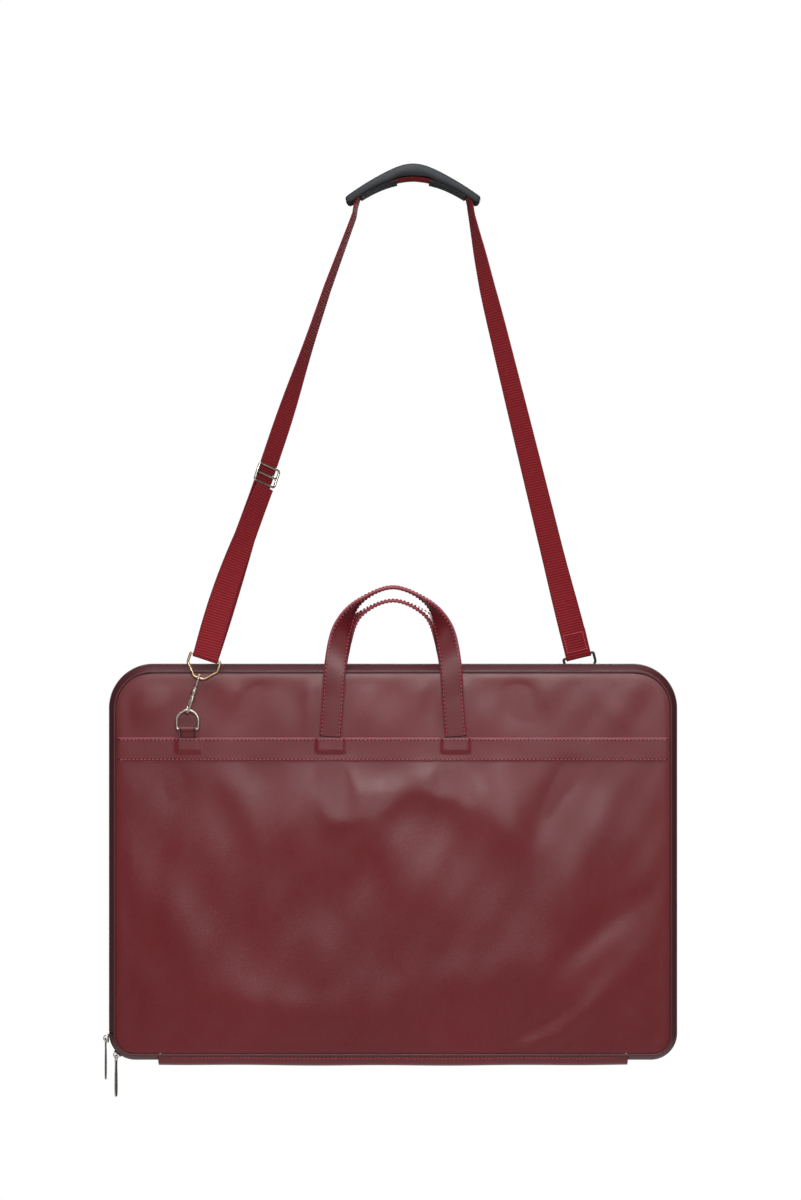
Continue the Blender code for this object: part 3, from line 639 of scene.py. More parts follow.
def leather_depth(x, z, side):
    """Outer face of a cover's leather, from the zip line, with its folds and its soft edge."""
    x = np.asarray(x, float) * (1 if side < 0 else -1)
    z = np.asarray(z, float)
    inside = edge_distance(x, z)
    below = smooth_step((BAND_TOP - BAND_HEIGHT - z) / BELLY_TOP_FADE)
    depth = LEATHER_REST + BELLY * below * smooth_step(inside / BELLY_SIDE_FADE)
    folds = np.zeros(np.broadcast(x, z).shape)
    for middle_x, middle_z, turn, length, width, height in FOLDS:
        c, s = math.cos(math.radians(turn)), math.sin(math.radians(turn))
        along = (x - middle_x) * c + (z - middle_z) * s
        across = (z - middle_z) * c - (x - middle_x) * s
        folds += height * np.exp(-(along / length) ** 2 - (across / width) ** 2)
    folds += 0.00022 * np.sin(x * 63 + z * 21 + 0.8) * np.sin(z * 37 - x * 9)
    folds += 0.00013 * np.sin(x * 128 - z * 30 + 2.1) * np.cos(z * 52 + 1.0)
    folds *= FOLD_STRENGTH
    near_band = 0.15 + 0.85 * smooth_step(np.abs(z - BAND_TOP + BAND_HEIGHT / 2) / 0.05)
    depth = depth + folds * near_band * smooth_step(inside / FOLD_FADE)
    depth = depth - EDGE_ROLL * np.exp(-inside / EDGE_ROLL_REACH)
    beside_leg = smooth_step((np.abs(np.abs(x) - HANDLE_SPREAD) - 0.015) / CLEARING)
    beside_ring = smooth_step((np.abs(x + D_RING_X) - 0.017) / CLEARING)
    upper = CEILING_UPPER * beside_leg * beside_ring * (1 - below)
    ceiling = CASE_HALF_DEPTH + upper + CEILING_LOWER * below
    depth = ceiling - CEILING_BLEND * np.logaddexp(0, (ceiling - depth) / CEILING_BLEND)
    return np.maximum(depth, BOARD_FACE + GAP)


# ---------------------------------------------------------------- covers
def cover_leather(face, side):
    """A soft leather sheet with folds, rolling down to its piping."""
    columns, rows = 241, 171
    half, tall = CASE_WIDTH / 2 - PANEL_INSET, CASE_HEIGHT - 2 * PANEL_INSET
    t = np.linspace(-1, 1, columns)
    spread = 0.55 * t + 0.45 * np.sin(t * math.pi / 2)
    u = np.linspace(0, 1, rows)
    heights = PANEL_INSET + tall * (0.55 * u + 0.45 * (0.5 - 0.5 * np.cos(u * math.pi)))
    points = []
    for z in heights:
        low, high = z - PANEL_INSET, CASE_HEIGHT - PANEL_INSET - z
        radius = (TOP_RADIUS if high < low else BOTTOM_RADIUS) - PANEL_INSET
        drop = max(radius - min(low, high), 0.0)
        reach = half - radius + math.sqrt(max(radius ** 2 - drop ** 2, 0.0))
        xs = spread * reach
        depths = leather_depth(xs, z, side)
        points += [case_point(x, side * y, z) for x, y in zip(xs, depths)]
    faces = grid(rows, columns, closed=False)
    order = np.arange(rows * columns).reshape(rows, columns)
    rim = [*order[0], *order[1:, -1], *order[-1, -2::-1], *order[-2:0:-1, 0]]
    rim = [int(index) for index in rim]
    base = len(points)
    for index in rim:
        x, _, z = points[index]
        points.append(np.array((x, side * BOARD_FACE, z)))
    count = len(rim)
    for i in range(count):
        j = (i + 1) % count
        faces.append((rim[i], rim[j], base + j, base + i))
    faces.append(tuple(base + i for i in range(count)))
    leather_piece = new_object(f"{face}_cover_leather", points, faces, "leather")
    stands_for(leather_piece, f"{face}_leather_panel")


def cover_piping(face, side):
    stations = filled(closed_outline() + closed_outline()[:1], 0.008)[:-1]
    points = [case_point(p[0] - PIPING_INSET * n[0], side * PIPING_Y, p[1] - PIPING_INSET * n[1])
              for p, n in stations]
    cord = tube(f"{face}_piping_cord", points, PIPING_RADIUS, "edge_leather", loop=True,
                sides=12)
    stands_for(cord, f"{face}_piping")


def band_depth(x, z, side):
    """Underside of the band: on the leather, and over the ends tucked under it."""
    depth = leather_depth(x, z, side)
    spots = [(-HANDLE_SPREAD, HANDLE_WIDTH), (HANDLE_SPREAD, HANDLE_WIDTH),
             (side * D_RING_X, TAB_WIDTH)]
    for middle, width in spots:
        beside = 1 - smooth_step((np.abs(x - middle) - width / 2) / 0.0060)
        under = smooth_step((z - BAND_TOP + 0.0185) / 0.0040)
        depth = depth + 0.0012 * beside * under
    return depth


def cover_band(face, side):
    half = CASE_WIDTH / 2 - PANEL_INSET - BAND_END
    xs = np.linspace(-half, half, 420)
    middle = BAND_TOP - BAND_HEIGHT / 2
    section = strap_section(BAND_HEIGHT, BAND_THICK, steps=18)
    rings = []
    for x in xs:
        zs = middle + section[:, 0]
        lift = band_depth(np.full(len(zs), x), zs, side) + BAND_THICK / 2
        rings.append([case_point(x, side * (y + b), z) for z, y, b in zip(zs, lift, section[:, 1])])
    band = skin(f"{face}_leather_band", rings, "band", along=xs, around=section[:, 0])
    stands_for(band, f"{face}_band")
    rows = (("top", BAND_TOP - STITCH_INSET), ("bottom", BAND_TOP - BAND_HEIGHT + STITCH_INSET))
    for label, z in rows:
        line = np.linspace(-half + 0.004, half - 0.004, 300)
        depths = band_depth(line, np.full(len(line), z), side) + BAND_THICK
        points = [case_point(x, side * y, z) for x, y in zip(line, depths)]
        stitch_row(f"{face}_band_{label}_stitches", points, [(0, side, 0)] * len(line),
                   f"{face}_band")


def cover_edge(side, path, owner):
    """The wall round a cover: the bulging gusset, the zip tape and its teeth."""
    stations = filled(path, 0.010)
    line = [(GUSSET_CURVE * (1 - math.cos(0.5 * math.pi * y / GUSSET_TO)), y)
            for y in np.linspace(GUSSET_FROM, GUSSET_TO, 13)]
    wall = swept(stations, wall_section(line, GUSSET_WALL), side)
    gusset = skin(f"{owner}_gusset_wall", wall, "edge_leather")
    stands_for(gusset, f"{owner}_gusset")
    tape = skin(f"{owner}_zip_cloth", swept(stations, ZIP_TAPE, side), "zip_fabric")
    stands_for(tape, f"{owner}_zip_tape")
    zip_coil(owner, side, path)


def zip_coil(owner, side, path):
    """One half of the zip's nylon coil, one small loop after another."""
    stations = filled(path, 0.004)
    points = np.array([case_point(p[0], 0, p[1]) for p, _ in stations])
    normals = np.array([(n[0], 0, n[1]) for _, n in stations])
    places, out, _ = resampled(points, normals, TOOTH_PITCH)
    along = directions(places)
    profile = [(0.0002, -0.0003), (0.0002, -0.0014), (0.0012, -0.0020), (0.0019, -0.0014),
               (0.0019, -0.0003), (0.0012, 0.0001)]
    shape = []
    for level, size in ((-0.00046, 0.82), (-0.0002, 1.0), (0.0002, 1.0), (0.00046, 0.82)):
        shape += [(level, 0.00105 + (y - 0.00105) * size, -0.0011 + (o + 0.0011) * size)
                  for y, o in profile]
    count = len(profile)
    ends = [tuple(range(count)), tuple(3 * count + j for j in range(count))]
    faces = grid(4, count) + ends
    shift = 0.5 * TOOTH_PITCH if side < 0 else 0.0
    frames = [(spot + way * shift, way, np.array((0, side, 0)), face)
              for spot, way, face in zip(places[:-1], along[:-1], out[:-1])]
    coil = repeated(f"{owner}_zip_coil", np.array(shape), faces, frames, "zip_teeth")
    stands_for(coil, f"{owner}_zip_teeth")


def cover_spine(face, side):
    """Half of the leather spine, with its row of stitches along the cover."""
    line = smooth_route([(-0.0045, 0.0004), (-0.0046, 0.0050), (-0.0040, 0.0100),
                         (-0.0010, 0.0155), (0.0045, 0.0185), (0.0090, 0.0193)], 4)
    xs = np.linspace(-SPINE_HALF, SPINE_HALF, 120)
    ends = [((x, 0.0), (0.0, -1.0)) for x in xs]
    rings = np.array(swept(ends, wall_section(line, SPINE_WALL), side))
    middle = 1 - (xs / SPINE_HALF) ** 2
    rings[:, :, 2] -= (0.0009 * middle + 0.0003 * np.sin(xs * 41 + side))[:, None]
    stands_for(skin(f"{face}_leather_spine", rings, "leather"), f"{face}_spine")
    row = rings[4:-4, 17]
    out = unit(np.array((0.0, side * 0.80, -0.60)))
    stitch_row(f"{face}_spine_stitches", row, [out] * len(row), f"{face}_spine")


# ---------------------------------------------------------------- handles
def turning(start, end, count, begin, finish):
    """Directions that turn from start to end between two shares of the way."""
    share = np.linspace(0, 1, count)
    t = smooth_step((share - begin) / (finish - begin))[:, None]
    return unit(np.array(start) * (1 - t) + np.array(end) * t)


def handle(face, side):
    """A stitched leather handle: flat legs that turn on edge into the arch."""
    depth = CASE_HALF_DEPTH + GAP + HANDLE_THICK / 2
    top = CASE_HEIGHT - BAND_TOP + HANDLE_RISE[face]
    leg = ((-HANDLE_SPREAD, depth, 0.0016), (-HANDLE_SPREAD + 0.003, depth + 0.0012, 0.042),
           (-HANDLE_SPREAD + 0.006, depth + 0.0018, 0.084),
           (-HANDLE_SPREAD + 0.014, 0.0180, top - 0.044), (-0.036, 0.0070, top - 0.015),
           (0.0, 0.0010, top))
    whole = [*leg, *((-x, y, z) for x, y, z in reversed(leg[:-1]))]
    route = smooth_route([case_point(x, side * y, BAND_TOP + z) for x, y, z in whole], 16)
    rising = turning((1, 0, 0), (0, -side, 0), len(route) // 2 + 1, 0.25, 1.0)
    falling = rising[:-1][::-1] * np.array((-1, 1, 1))
    across = np.concatenate([rising, falling])
    along = directions(route)
    across = squared(across, along)
    out = np.cross(along, across)
    out *= np.sign(out[0, 1] * side)
    section = strap_section(HANDLE_WIDTH, HANDLE_THICK - 0.0004, 0.0002, 14)
    strap = skin(f"{face}_leather_handle", strap_rings(route, across, out, section), "handle",
                 along=lengths(route), around=section[:, 0])
    stands_for(strap, f"{face}_handle")
    for label, sign in (("outer", 1), ("inner", -1)):
        lift = HANDLE_THICK / 2 - 0.0002
        for edge in (-1, 1):
            line = route + across * edge * (HANDLE_WIDTH / 2 - STITCH_INSET) + out * sign * lift
            word = "left" if edge < 0 else "right"
            stitch_row(f"{face}_handle_{label}_{word}_stitches", line[1:-1], (out * sign)[1:-1],
                       f"{face}_handle")


# ---------------------------------------------------------------- tabs, rings and hooks
def tab(face, side):
    bar = np.array((side * CLIP_Y, D_RING_BAR))
    anchor = np.array((side * (CASE_HALF_DEPTH + 0.0018), BAND_TOP + 0.0014))
    along = unit(anchor - bar)
    across = np.array((-along[1], along[0]))
    reach = np.linalg.norm(anchor - bar)
    outer, inner, slit, half = TAB_PLY + TAB_BORE, TAB_BORE, TAB_SLIT, TAB_HALF
    wide, narrow = math.degrees(math.asin(half / outer)), math.degrees(math.asin(slit / inner))
    shape = [(reach, half), *arc((0, 0), outer, wide, 360 - wide, 28), (reach, -half),
             (reach, -slit), *arc((0, 0), inner, 360 - narrow, narrow, 28), (reach, slit)]
    places = [bar + along * a + across * b for a, b in shape]
    offsets = np.array((-1, -0.97, -0.9, -0.3, 0.3, 0.9, 0.97, 1)) * TAB_WIDTH / 2
    rings = [[case_point(side * D_RING_X + x, p[0], p[1]) for p in places] for x in offsets]
    piece = skin(f"{face}_leather_tab", rings, "tab")
    uvs = piece.data.uv_layers[0].data
    for loop in piece.data.loops:
        x = piece.data.vertices[loop.vertex_index].co.x - CASE_ORIGIN[0] - side * D_RING_X
        uvs[loop.index].uv = (uvs[loop.index].uv[1], x)
    stands_for(piece, f"{face}_ring_tab")


def d_ring(face, side):
    radius = D_RING_WIDTH / 2 - WIRE
    centre = (side * D_RING_X, D_RING_TOP - radius)
    bend = D_RING_BEND
    left, right, low = centre[0] - radius, centre[0] + radius, D_RING_BAR
    points = [*arc(centre, radius, 0, 180, 40), *arc((left + bend, low + bend), bend, 180, 270, 8),
              *arc((right - bend, low + bend), bend, 270, 360, 8)]
    ring = tube(f"{face}_d_ring_wire", [case_point(x, side * CLIP_Y, z) for x, z in points], WIRE,
                "nickel", loop=True)
    stands_for(ring, f"{face}_d_ring")


def hook(face, side):
    """The snap hook: a bow below a turned barrel, its gate, and the swivel eye above."""
    foot = case_point(side * D_RING_X, side * CLIP_Y, D_RING_TOP)
    head = case_point(side * LINK_X, side * CLIP_Y, LINK_Z)
    length = np.linalg.norm(head - foot)
    up = unit(head - foot)
    turn = Matrix.Rotation(math.radians(HOOK_TURN), 3, Vector(up))
    out = np.array(turn @ Vector((0, side, 0)))
    bow = BOW_RADIUS
    low = bow - (2 * WIRE - 0.0002 + GAP)
    line = smooth_route([(0.0, BARREL_FOOT - 0.0008), (0.0012, BARREL_FOOT - 0.0022),
                         (bow, BARREL_FOOT - 0.0060), (bow, low + 0.0010)], 6)
    bend = arc((0.0, low), bow, 0, -180, 24)
    points = [*line, *bend, (-bow, NOSE - 0.0004), (-bow, NOSE)]
    radii = [BOW_WIRE] * (len(points) - 1) + [BOW_WIRE * 0.7]
    barrel = [(BARREL_TOP, 0.60), (BARREL_TOP - 0.0003, 0.92), (BARREL_TOP - 0.0012, 1.0),
              (BARREL_TOP - 0.0016, 0.86), (BARREL_TOP - 0.0022, 0.84), (BARREL_TOP - 0.0026, 1.0),
              (BARREL_FOOT + 0.0010, 1.0), (BARREL_FOOT + 0.0002, 0.80)]
    points = [(0.0, b) for b, _ in barrel] + points
    radii = [BARREL_RADIUS * size for _, size in barrel] + radii
    body = tube(f"{face}_snap_hook", laid(foot, out, up, points), radii, "nickel", sides=18)
    stands_for(body, f"{face}_hook")
    pivot = foot + out * GATE_X + up * GATE_PIVOT
    tip = foot + out * -bow + up * (NOSE + BOW_WIRE + GAP)
    shares = np.linspace(0, 1, 10)
    gate = tube(f"{face}_snap_gate", [pivot + (tip - pivot) * t for t in shares],
                [GATE_WIRE * (0.7 + 0.3 * math.sin(math.pi * min(t * 6, 0.5))) for t in shares],
                "nickel")
    stands_for(gate, f"{face}_hook_gate")
    eye = length - EYE_DROP
    loop = [(0.0, BARREL_TOP + GAP), (0.0, BARREL_TOP + 0.0006),
            (0.0, eye - EYE_RADIUS - 0.0018), *arc((0.0, eye), EYE_RADIUS, -50, 225, 36)]
    flat = laid(foot, np.array((0, side, 0)), up, loop)
    ring = tube(f"{face}_swivel_eye", flat, EYE_WIRE, "nickel")
    stands_for(ring, f"{face}_hook_eye")


# ---------------------------------------------------------------- zip sliders
def zip_slider(name, spot, out):
    """A slider's shell and the wire loop on it, at a place on the zip facing outwards."""
    up = np.array((-out[2], 0, out[0]))
    wide = np.array((0, 1, 0))
    body = smooth_route([(-1, 0), (-1, -0.5), (-0.7, -0.95), (0, -0.85), (0.7, -0.8), (1, -0.4),
                         (1, 0), (1, 0.4), (0.7, 0.8), (0, 0.85), (-0.7, 0.95), (-1, 0.5)], 4)[:-1]
    rings = []
    for height, size in ((GAP, 0.96), (GAP + 0.0002, 1.0), (0.6 * SLIDER_THICK, 1.0),
                         (0.85 * SLIDER_THICK, 0.93), (SLIDER_THICK, 0.78)):
        rings.append([spot + out * height + wide * (b * SLIDER_WIDTH / 2 * size)
                      + up * (a * SLIDER_LENGTH / 2 * size) for a, b in body])
    stands_for(skin(f"{name}_shell", rings, "nickel"), f"{name}_body")
    foot = SLIDER_THICK + GAP + BAIL_WIRE
    bail = smooth_route([(foot, -0.0032), (foot + 0.0016, -0.0030), (foot + 0.0030, -0.0016),
                         (foot + 0.0032, 0), (foot + 0.0030, 0.0016), (foot + 0.0016, 0.0030),
                         (foot, 0.0032)], 5)
    loop = tube(f"{name}_loop", laid(spot, out, up, bail), BAIL_WIRE, "nickel", sides=10)
    stands_for(loop, f"{name}_bail")


def zip_pull(name, pivot, spin):
    """A long flat pull with a slot at its top and a waist, its edges rounded."""
    half, foot = PULL_WIDTH / 2, PULL_BAR - PULL_LENGTH
    side = smooth_route([(half * 0.72, PULL_BAR), (half, PULL_BAR - 0.002), (half * 0.78, -0.011),
                         (half * 0.80, -0.016), (half, -0.024), (half, foot + 0.004),
                         (half * 0.45, foot)], 5)
    edge = [*map(tuple, side), *((-x, z) for x, z in side[::-1])]
    hole = [(x, z - 0.0033) for x, z in rounded_rectangle(PULL_WIDTH - 0.0024, 0.0054, 0.001, 4)]
    curve = bpy.data.curves.new(f"{name}_tag", "CURVE")
    curve.dimensions, curve.fill_mode = "2D", "BOTH"
    bevel = 0.00022
    curve.extrude, curve.bevel_depth = PULL_THICK / 2 - bevel, bevel
    curve.offset, curve.bevel_resolution = -bevel, 2
    for outline in (edge, hole):
        spline = curve.splines.new("POLY")
        spline.points.add(len(outline) - 1)
        for (x, z), target in zip(outline, spline.points):
            target.co = (x, z, 0.0, 1.0)
        spline.use_cyclic_u = True
    curve.materials.append(MATERIALS["nickel"])
    tag = placed(f"{name}_tag", curve)
    tag.location = pivot
    tag.rotation_euler = (math.radians(90), 0, math.radians(90 + spin))
    bpy.context.view_layer.update()
    stands_for(tag, name)


# ---------------------------------------------------------------- the strap
def pad_mid(x):
    """Height of the pad's middle surface, with its peak rounded off."""
    def curve(reach):
        return (reach ** 2 + PAD_ROUND ** 2) ** (PAD_BEND / 2) - PAD_ROUND ** PAD_BEND
    return PAD_MIDDLE - PAD_DROP * curve(x) / curve(PAD_LENGTH / 2)


def pad_thickness(x):
    return PAD_EDGE + PAD_SWELL * math.exp(-(x / PAD_SWELL_REACH) ** 2)


def web_under_pad(x):
    slope = PAD_DROP * PAD_BEND * 2 / PAD_LENGTH * abs(2 * x / PAD_LENGTH) ** (PAD_BEND - 1)
    return pad_mid(x) - (pad_thickness(x) / 2 + 2.5 * GAP + WEB_THICK / 2) * math.hypot(1, slope)


def shoulder_pad():
    """The moulded pad: a swollen middle, two grooves along its top, and lips along its sides."""
    xs = PAD_LENGTH / 2 * np.sin(np.linspace(-1, 1, 97) * math.pi / 2)
    route = np.array([(x, 0, pad_mid(x)) for x in xs])
    along = directions(route)
    across = np.tile((0.0, 1.0, 0.0), (len(xs), 1))
    out = np.cross(along, across)
    out *= np.sign(out[:, 2])[:, None]
    rings = []
    for x, centre, side, face in zip(xs, route, across, out):
        share = abs(2 * x / PAD_LENGTH)
        end = math.sqrt(max(1 - max((share - 0.965) / 0.035, 0.0) ** 2 * 0.75, 0.05))
        half = PAD_WIDTH / 2 * (1 - PAD_TAPER * share ** 3) * (0.97 + 0.03 * end)
        thick = pad_thickness(x) / 2 * end
        lip_depth = LIP_DEPTH * smooth_step((abs(x) - 0.012) / 0.020) * end
        ring = []
        for turn in np.linspace(0, 2 * math.pi, 56, endpoint=False):
            c, s = math.cos(turn), math.sin(turn)
            a = math.copysign(abs(c) ** 0.55, c)
            b = math.copysign(abs(s) ** (0.75 if s > 0 else 0.45), s)
            groove = GROOVE_DEPTH * math.exp(-((abs(a) - 0.72) / 0.035) ** 2) if s > 0 else 0.0
            lip = lip_depth * smooth_step((abs(a) * half - LIP_INNER) / 0.002) if s < 0 else 0.0
            ring.append(centre + side * (a * half) + face * (b * (thick - groove) - lip))
        rings.append(ring)
    pad = skin("shoulder_pad_rubber", rings, "pad_rubber")
    # painted light: faces of the pad that point down take the lighter copy of its rubber
    pad.data.materials.append(MATERIALS["pad_painted_light"])
    for polygon in pad.data.polygons:
        x = polygon.center.x
        if polygon.normal.z < -0.55 and abs(x) < PAD_LENGTH * 0.49:
            polygon.material_index = 1
    stands_for(pad, "shoulder_pad")
    for label, sign in (("left", -1), ("right", 1)):
        pad_bridge(label, sign)


def pad_bridge(label, sign):
    """The rubber loop under an end of the pad, which the webbing runs through."""
    xs = sign * np.linspace(BRIDGE_INNER, BRIDGE_OUTER, 24)
    drop = WEB_THICK / 2 + BRIDGE_THICK / 2 + GAP
    route = np.array([(x, 0, web_under_pad(x) - drop) for x in xs])
    across = np.tile((0.0, 1.0, 0.0), (len(xs), 1))
    out = np.cross(directions(route), across)
    section = strap_section(BRIDGE_WIDTH, BRIDGE_THICK, steps=10)
    rings = strap_rings(route, across, out, section)
    goes_with(skin(f"pad_{label}_bridge", rings, "pad_rubber"), "shoulder_pad")


def leg_line(side):
    """A leg's top, the bar of its ring, and the place where the ring hangs in the hook."""
    top = np.array((side * LEG_TOP[0], 0.0, LEG_TOP[1]))
    link = case_point(side * LINK_X, side * CLIP_Y, LINK_Z)
    return top, link - unit(link - top) * RING_HEIGHT, link


def leg_frame(side, share, turns):
    """The way down a leg, its webbing's width direction and its front face's direction."""
    top, _, link = leg_line(side)
    down = unit(link - top)
    flat = unit(np.cross((0, 1, 0), down))
    window = np.clip(share + np.linspace(-0.05, 0.05, 9), 0, 1)
    angle = math.radians(np.interp(window, *turns).mean())
    across = np.array((0, side, 0)) * math.cos(angle) + flat * math.sin(angle)
    across = unit(across - down * np.dot(across, down))
    front = np.cross(down, across)
    return down, across, front if np.cross(down, flat)[1] < 0 else -front


def web_section():
    """Woven webbing: a little thicker along its two selvedges."""
    section = strap_section(WEB_WIDTH, WEB_THICK * 0.86, steps=16)
    share = np.abs(section[:, 0]) / (WEB_WIDTH / 2)
    section[:, 1] *= 1 + 0.16 * smooth_step((share - 0.80) / 0.1)
    return section


def web_strip(name, route, across, node=None):
    """A strip of webbing with its ribs, along a route."""
    route, across, reach = resampled(np.array(route), np.array(across), RIB_PITCH / 6)
    kernel = np.ones(9) / 9
    for rows in (route, across):
        for column in range(3):
            padded = np.pad(rows[:, column], 4, mode="edge")
            rows[:, column] = np.convolve(padded, kernel, mode="valid")
    along = directions(route)
    across = squared(across, along)
    out = np.cross(along, across)
    rib = 1 + 2 * RIB_DEPTH / WEB_THICK * np.sin(2 * math.pi * reach / RIB_PITCH)
    section = web_section()
    rings = strap_rings(route, across, out, section, [(1.0, size) for size in rib])
    piece = skin(name, rings, "webbing", along=reach, around=section[:, 0])
    return stands_for(piece, node) if node else piece


def leg(name, side, turns, return_length, ply_side, stray, node):
    """The long ply is in front of the ring's bar if ply_side is 1, behind it if -1."""
    top, bar, _ = leg_line(side)
    length = np.linalg.norm(bar - top)
    shift = ply_side * (WIRE + GAP + WEB_THICK / 2)
    start = np.array((side * WEB_SPLIT, 0, web_under_pad(WEB_SPLIT)))
    across = leg_frame(side, 0, turns)[1]
    route = [start, (start + top) / 2 + np.array((side * 0.0012, 0, 0.0020))]
    widths = [np.array((0, 1, 0)), across]
    for share in np.linspace(0, 1, 61):
        down, across, front = leg_frame(side, share, turns)
        route.append(top + down * (length * share) + front * (shift * min(share * 6, 1)))
        widths.append(across)
    for angle in np.radians(np.linspace(15, 180, 12)):
        route.append(bar + front * (shift * math.cos(angle))
                     + down * (abs(shift) * math.sin(angle)))
        widths.append(across)
    for back in np.linspace(0, return_length, 3 + int(return_length / 0.008))[1:]:
        down, across, front = leg_frame(side, 1 - back / length, turns)
        aside = stray * math.sin(math.pi * min(back / return_length, 1.0))
        route.append(bar - front * shift - down * back + across * aside)
        widths.append(across)
    widths[0] = widths[0] * np.sign(np.dot(widths[0], widths[1]))
    web_strip(name, route, widths, node)


def leg_stitches(name, side, turns, back, node):
    """A sewn box that holds the doubled webbing above its ring."""
    top, bar, _ = leg_line(side)
    length = np.linalg.norm(bar - top)
    shift = WIRE + GAP + WEB_THICK + 0.0001
    line, faces = [], []
    for a, b in ((-0.011, 0.006), (0.011, 0.006), (0.011, back), (-0.011, back), (-0.011, 0.006)):
        down, across, front = leg_frame(side, 1 - b / length, turns)
        line.append(bar + across * a - down * b + front * shift)
        faces.append(front)
    stitch_row(name, line, faces, node, 0.0032)


def strap_ring(name, side, finish, node):
    shape = [(-RING_FOOT, 0.0), (RING_FOOT, 0.0), (RING_HALF, RING_SHOULDER),
             (RING_HALF, RING_HEIGHT), (-RING_HALF, RING_HEIGHT), (-RING_HALF, RING_SHOULDER)]
    points = []
    for before, corner, after in zip(shape[-1:] + shape[:-1], shape, shape[1:] + shape[:1]):
        here = np.array(corner)
        start = here + unit(np.array(before) - here) * RING_BEND
        end = here + unit(np.array(after) - here) * RING_BEND
        for t in np.linspace(0, 1, 7):
            points.append(start * (1 - t) ** 2 + here * 2 * t * (1 - t) + end * t ** 2)
    link = leg_line(side)[2]
    down, across, _ = leg_frame(side, 1, ((0.0, 1.0), (90, 90)))
    ring = tube(name, laid(link, across, -down, points), WIRE, finish, loop=True)
    stands_for(ring, node)


def buckle():
    down, across, _ = leg_frame(-1, BUCKLE_SHARE, LEFT_TURNS)
    top, bar, _ = leg_line(-1)
    middle = top * (1 - BUCKLE_SHARE) + bar * BUCKLE_SHARE
    outline = rounded_rectangle(BUCKLE_WIDTH, BUCKLE_HEIGHT, 0.003, 8)
    wires = tube("length_slider_frame", laid(middle, across, down, outline), BUCKLE_WIRE,
                 "nickel", loop=True)
    stands_for(wires, "buckle_frame")
    reach = BUCKLE_WIDTH / 2 - BUCKLE_WIRE - GAP
    rod = tube("length_slider_bar", [middle + across * a for a in np.linspace(-reach, reach, 5)],
               BUCKLE_WIRE, "nickel")
    stands_for(rod, "buckle_bar")


def strap():
    shoulder_pad()
    strap_ring("left_ring_wire", -1, "brass", "left_strap_ring")
    # painted shade: the right ring is the same nickel, given the dark copy for the shade it lies in
    strap_ring("right_ring_wire", 1, "dark_metal", "right_strap_ring")
    edge = WEB_SPLIT - 3 * GAP
    xs = np.linspace(-edge, edge, 41)
    web_strip("pad_webbing", [(x, 0, web_under_pad(x)) for x in xs], [(0, 1, 0)] * len(xs),
              "webbing_under_pad")
    leg("left_leg_webbing", -1, LEFT_TURNS, RETURN_LEFT, -1, PLY_SHIFT, "webbing_left")
    leg("right_leg_webbing", 1, RIGHT_TURNS, RETURN_RIGHT, 1, 0.0, "webbing_right")
    leg_stitches("right_leg_stitches", 1, RIGHT_TURNS, 0.026, "webbing_right")
    buckle()


def case():
    for face, side in (("front", -1), ("back", 1)):
        cover_leather(face, side)
        cover_piping(face, side)
        cover_band(face, side)
        path = zip_path()
        if side > 0:
            path = closed_corner_path()[:-1] + path[1:]
        cover_edge(side, path, face)
        cover_spine(face, side)
        handle(face, side)
        tab(face, side)
        d_ring(face, side)
        hook(face, side)
        for layer, finish in (("stiffener_board", "board"), ("lining", "lining")):
            slots = bpy.data.objects[f"{face}_{layer}"].data.materials
            slots.clear()
            slots.append(MATERIALS[finish])
    cover_edge(-1, closed_corner_path(), "closed_corner")
    corner = case_point(-CASE_WIDTH / 2 + BOTTOM_RADIUS, 0, BOTTOM_RADIUS)
    beside = np.array((-1.0, 0.0, 0.0))
    below = np.array((math.cos(SLIDER_B_ANGLE), 0, math.sin(SLIDER_B_ANGLE)))
    sliders = (("side", case_point(-CASE_WIDTH / 2, 0, SLIDER_A_Z), beside, 20),
               ("corner", corner + below * BOTTOM_RADIUS, below, -18))
    for name, spot, out, _ in sliders:
        zip_slider(f"{name}_slider", spot, out)
    for name, spot, out, spin in sliders:
        zip_pull(f"{name}_pull", spot + out * PULL_OUT, spin)


# ---------------------------------------------------------------- studio
FLOOR_Z = -1.46
CAMERA_X, CAMERA_Z, CAMERA_DISTANCE, VIEW_HEIGHT = -0.0141, -0.4733, 3.0, 1.352
AMBIENT = 0.07                    # strength of the surround, where the camera doesn't see it
LIGHTS = (  # name, place, target, size, power
    ("key", (0.15, -2.9, 0.02), (0, 0, -0.50), (1.1, 0.30), 38),
    ("upper", (-0.1, -1.3, 0.80), (-0.02, 0, -0.58), (1.0, 0.4), 16),
    ("fill", (2.3, -1.9, 0.3), (0, 0, -0.6), (0.7, 1.5), 6),
    ("left", (-2.3, -1.7, 0.1), (0, 0, -0.6), (0.7, 1.6), 7),
    ("top", (0.0, -0.3, 1.6), (0, 0, -0.5), (1.6, 1.0), 26),
    ("behind", (0.4, 2.9, 0.6), (0, 0, -0.6), (2.0, 1.3), 50),
)


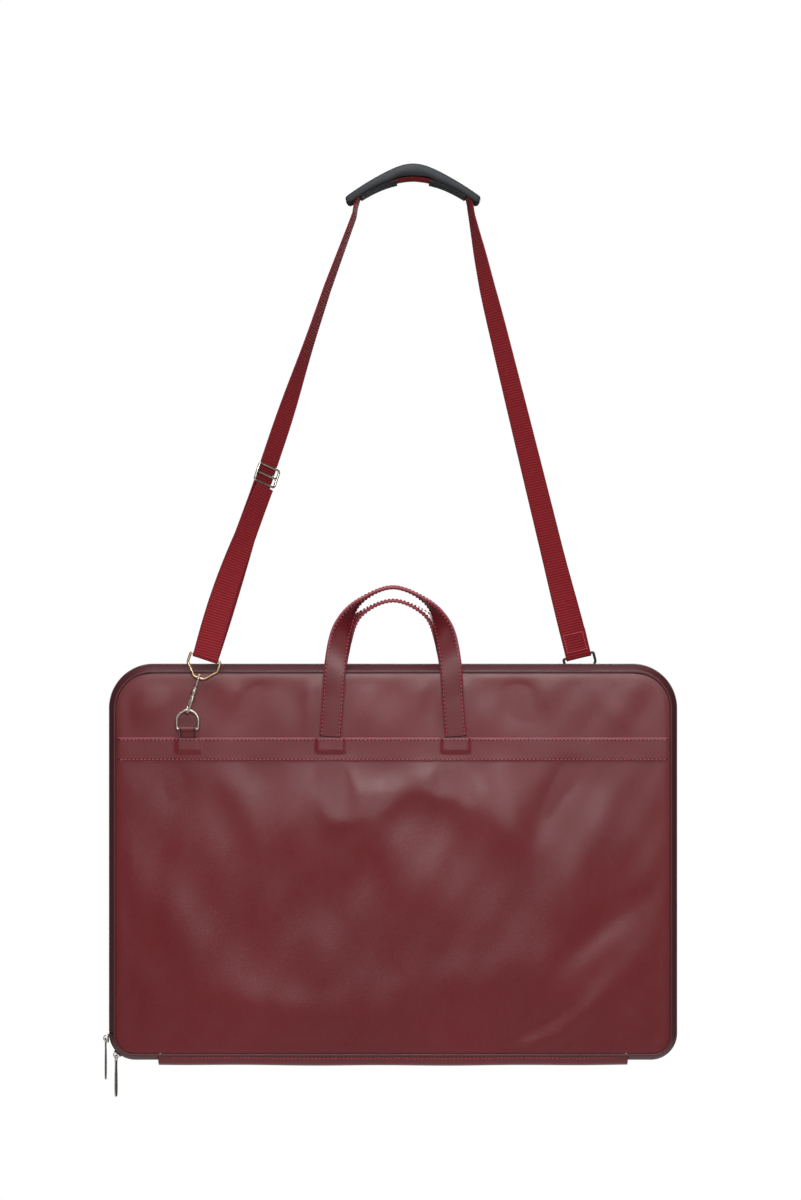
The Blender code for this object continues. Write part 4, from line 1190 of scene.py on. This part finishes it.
def area_light(name, spot, target, size, power):
    data = bpy.data.lights.new(name, "AREA")
    data.shape = "RECTANGLE"
    data.size, data.size_y = size
    data.energy = power
    lamp = placed(name, data)
    lamp.location = spot
    lamp.rotation_euler = (Vector(target) - Vector(spot)).to_track_quat("-Z", "Y").to_euler()


def studio():
    """A white surround, soft lights, and a pale floor well below the hanging case."""
    world = bpy.data.worlds.new("white_surround")
    bpy.context.scene.world = world
    world.use_nodes = True
    tree = world.node_tree
    background = tree.nodes["Background"]
    background.inputs["Color"].default_value = (1, 1, 1, 1)
    background.inputs["Strength"].default_value = AMBIENT
    seen = tree.nodes.new("ShaderNodeBackground")
    seen.inputs["Strength"].default_value = 1.0
    seen.inputs["Color"].default_value = (1, 1, 1, 1)
    path = tree.nodes.new("ShaderNodeLightPath")
    either = tree.nodes.new("ShaderNodeMixShader")
    tree.links.new(path.outputs["Is Camera Ray"], either.inputs["Fac"])
    tree.links.new(background.outputs[0], either.inputs[1])
    tree.links.new(seen.outputs[0], either.inputs[2])
    tree.links.new(either.outputs[0], tree.nodes["World Output"].inputs["Surface"])
    for light in LIGHTS:
        area_light(*light)

    points = [(x, y, FLOOR_Z) for x, y in ((-2.2, -1.4), (2.2, -1.4), (2.2, 0.9), (-2.2, 0.9))]
    floor = bpy.data.meshes.new("studio_floor")
    floor.from_pydata(points, [], [(0, 1, 2, 3)])
    n = Nodes("pale_floor")
    tone = n.noise(n.place(), 3.0, 2.0)
    floor.materials.append(n.done(n.mix(n.span(tone, 0.3, 0.7), (0.80, 0.80, 0.80),
                                        (0.84, 0.84, 0.84)), 0.7))
    placed("studio_floor", floor)

    data = bpy.data.cameras.new("camera")
    data.sensor_width = 36.0
    data.lens = data.sensor_width * CAMERA_DISTANCE / VIEW_HEIGHT
    camera = placed("camera", data)
    camera.location = (CAMERA_X, -CAMERA_DISTANCE, CAMERA_Z)
    camera.rotation_euler = (math.radians(90), 0, 0)
    bpy.context.scene.camera = camera
    settings = bpy.context.scene.view_settings
    settings.view_transform = "Standard"
    settings.look = "None"


studio()
case()
strap()
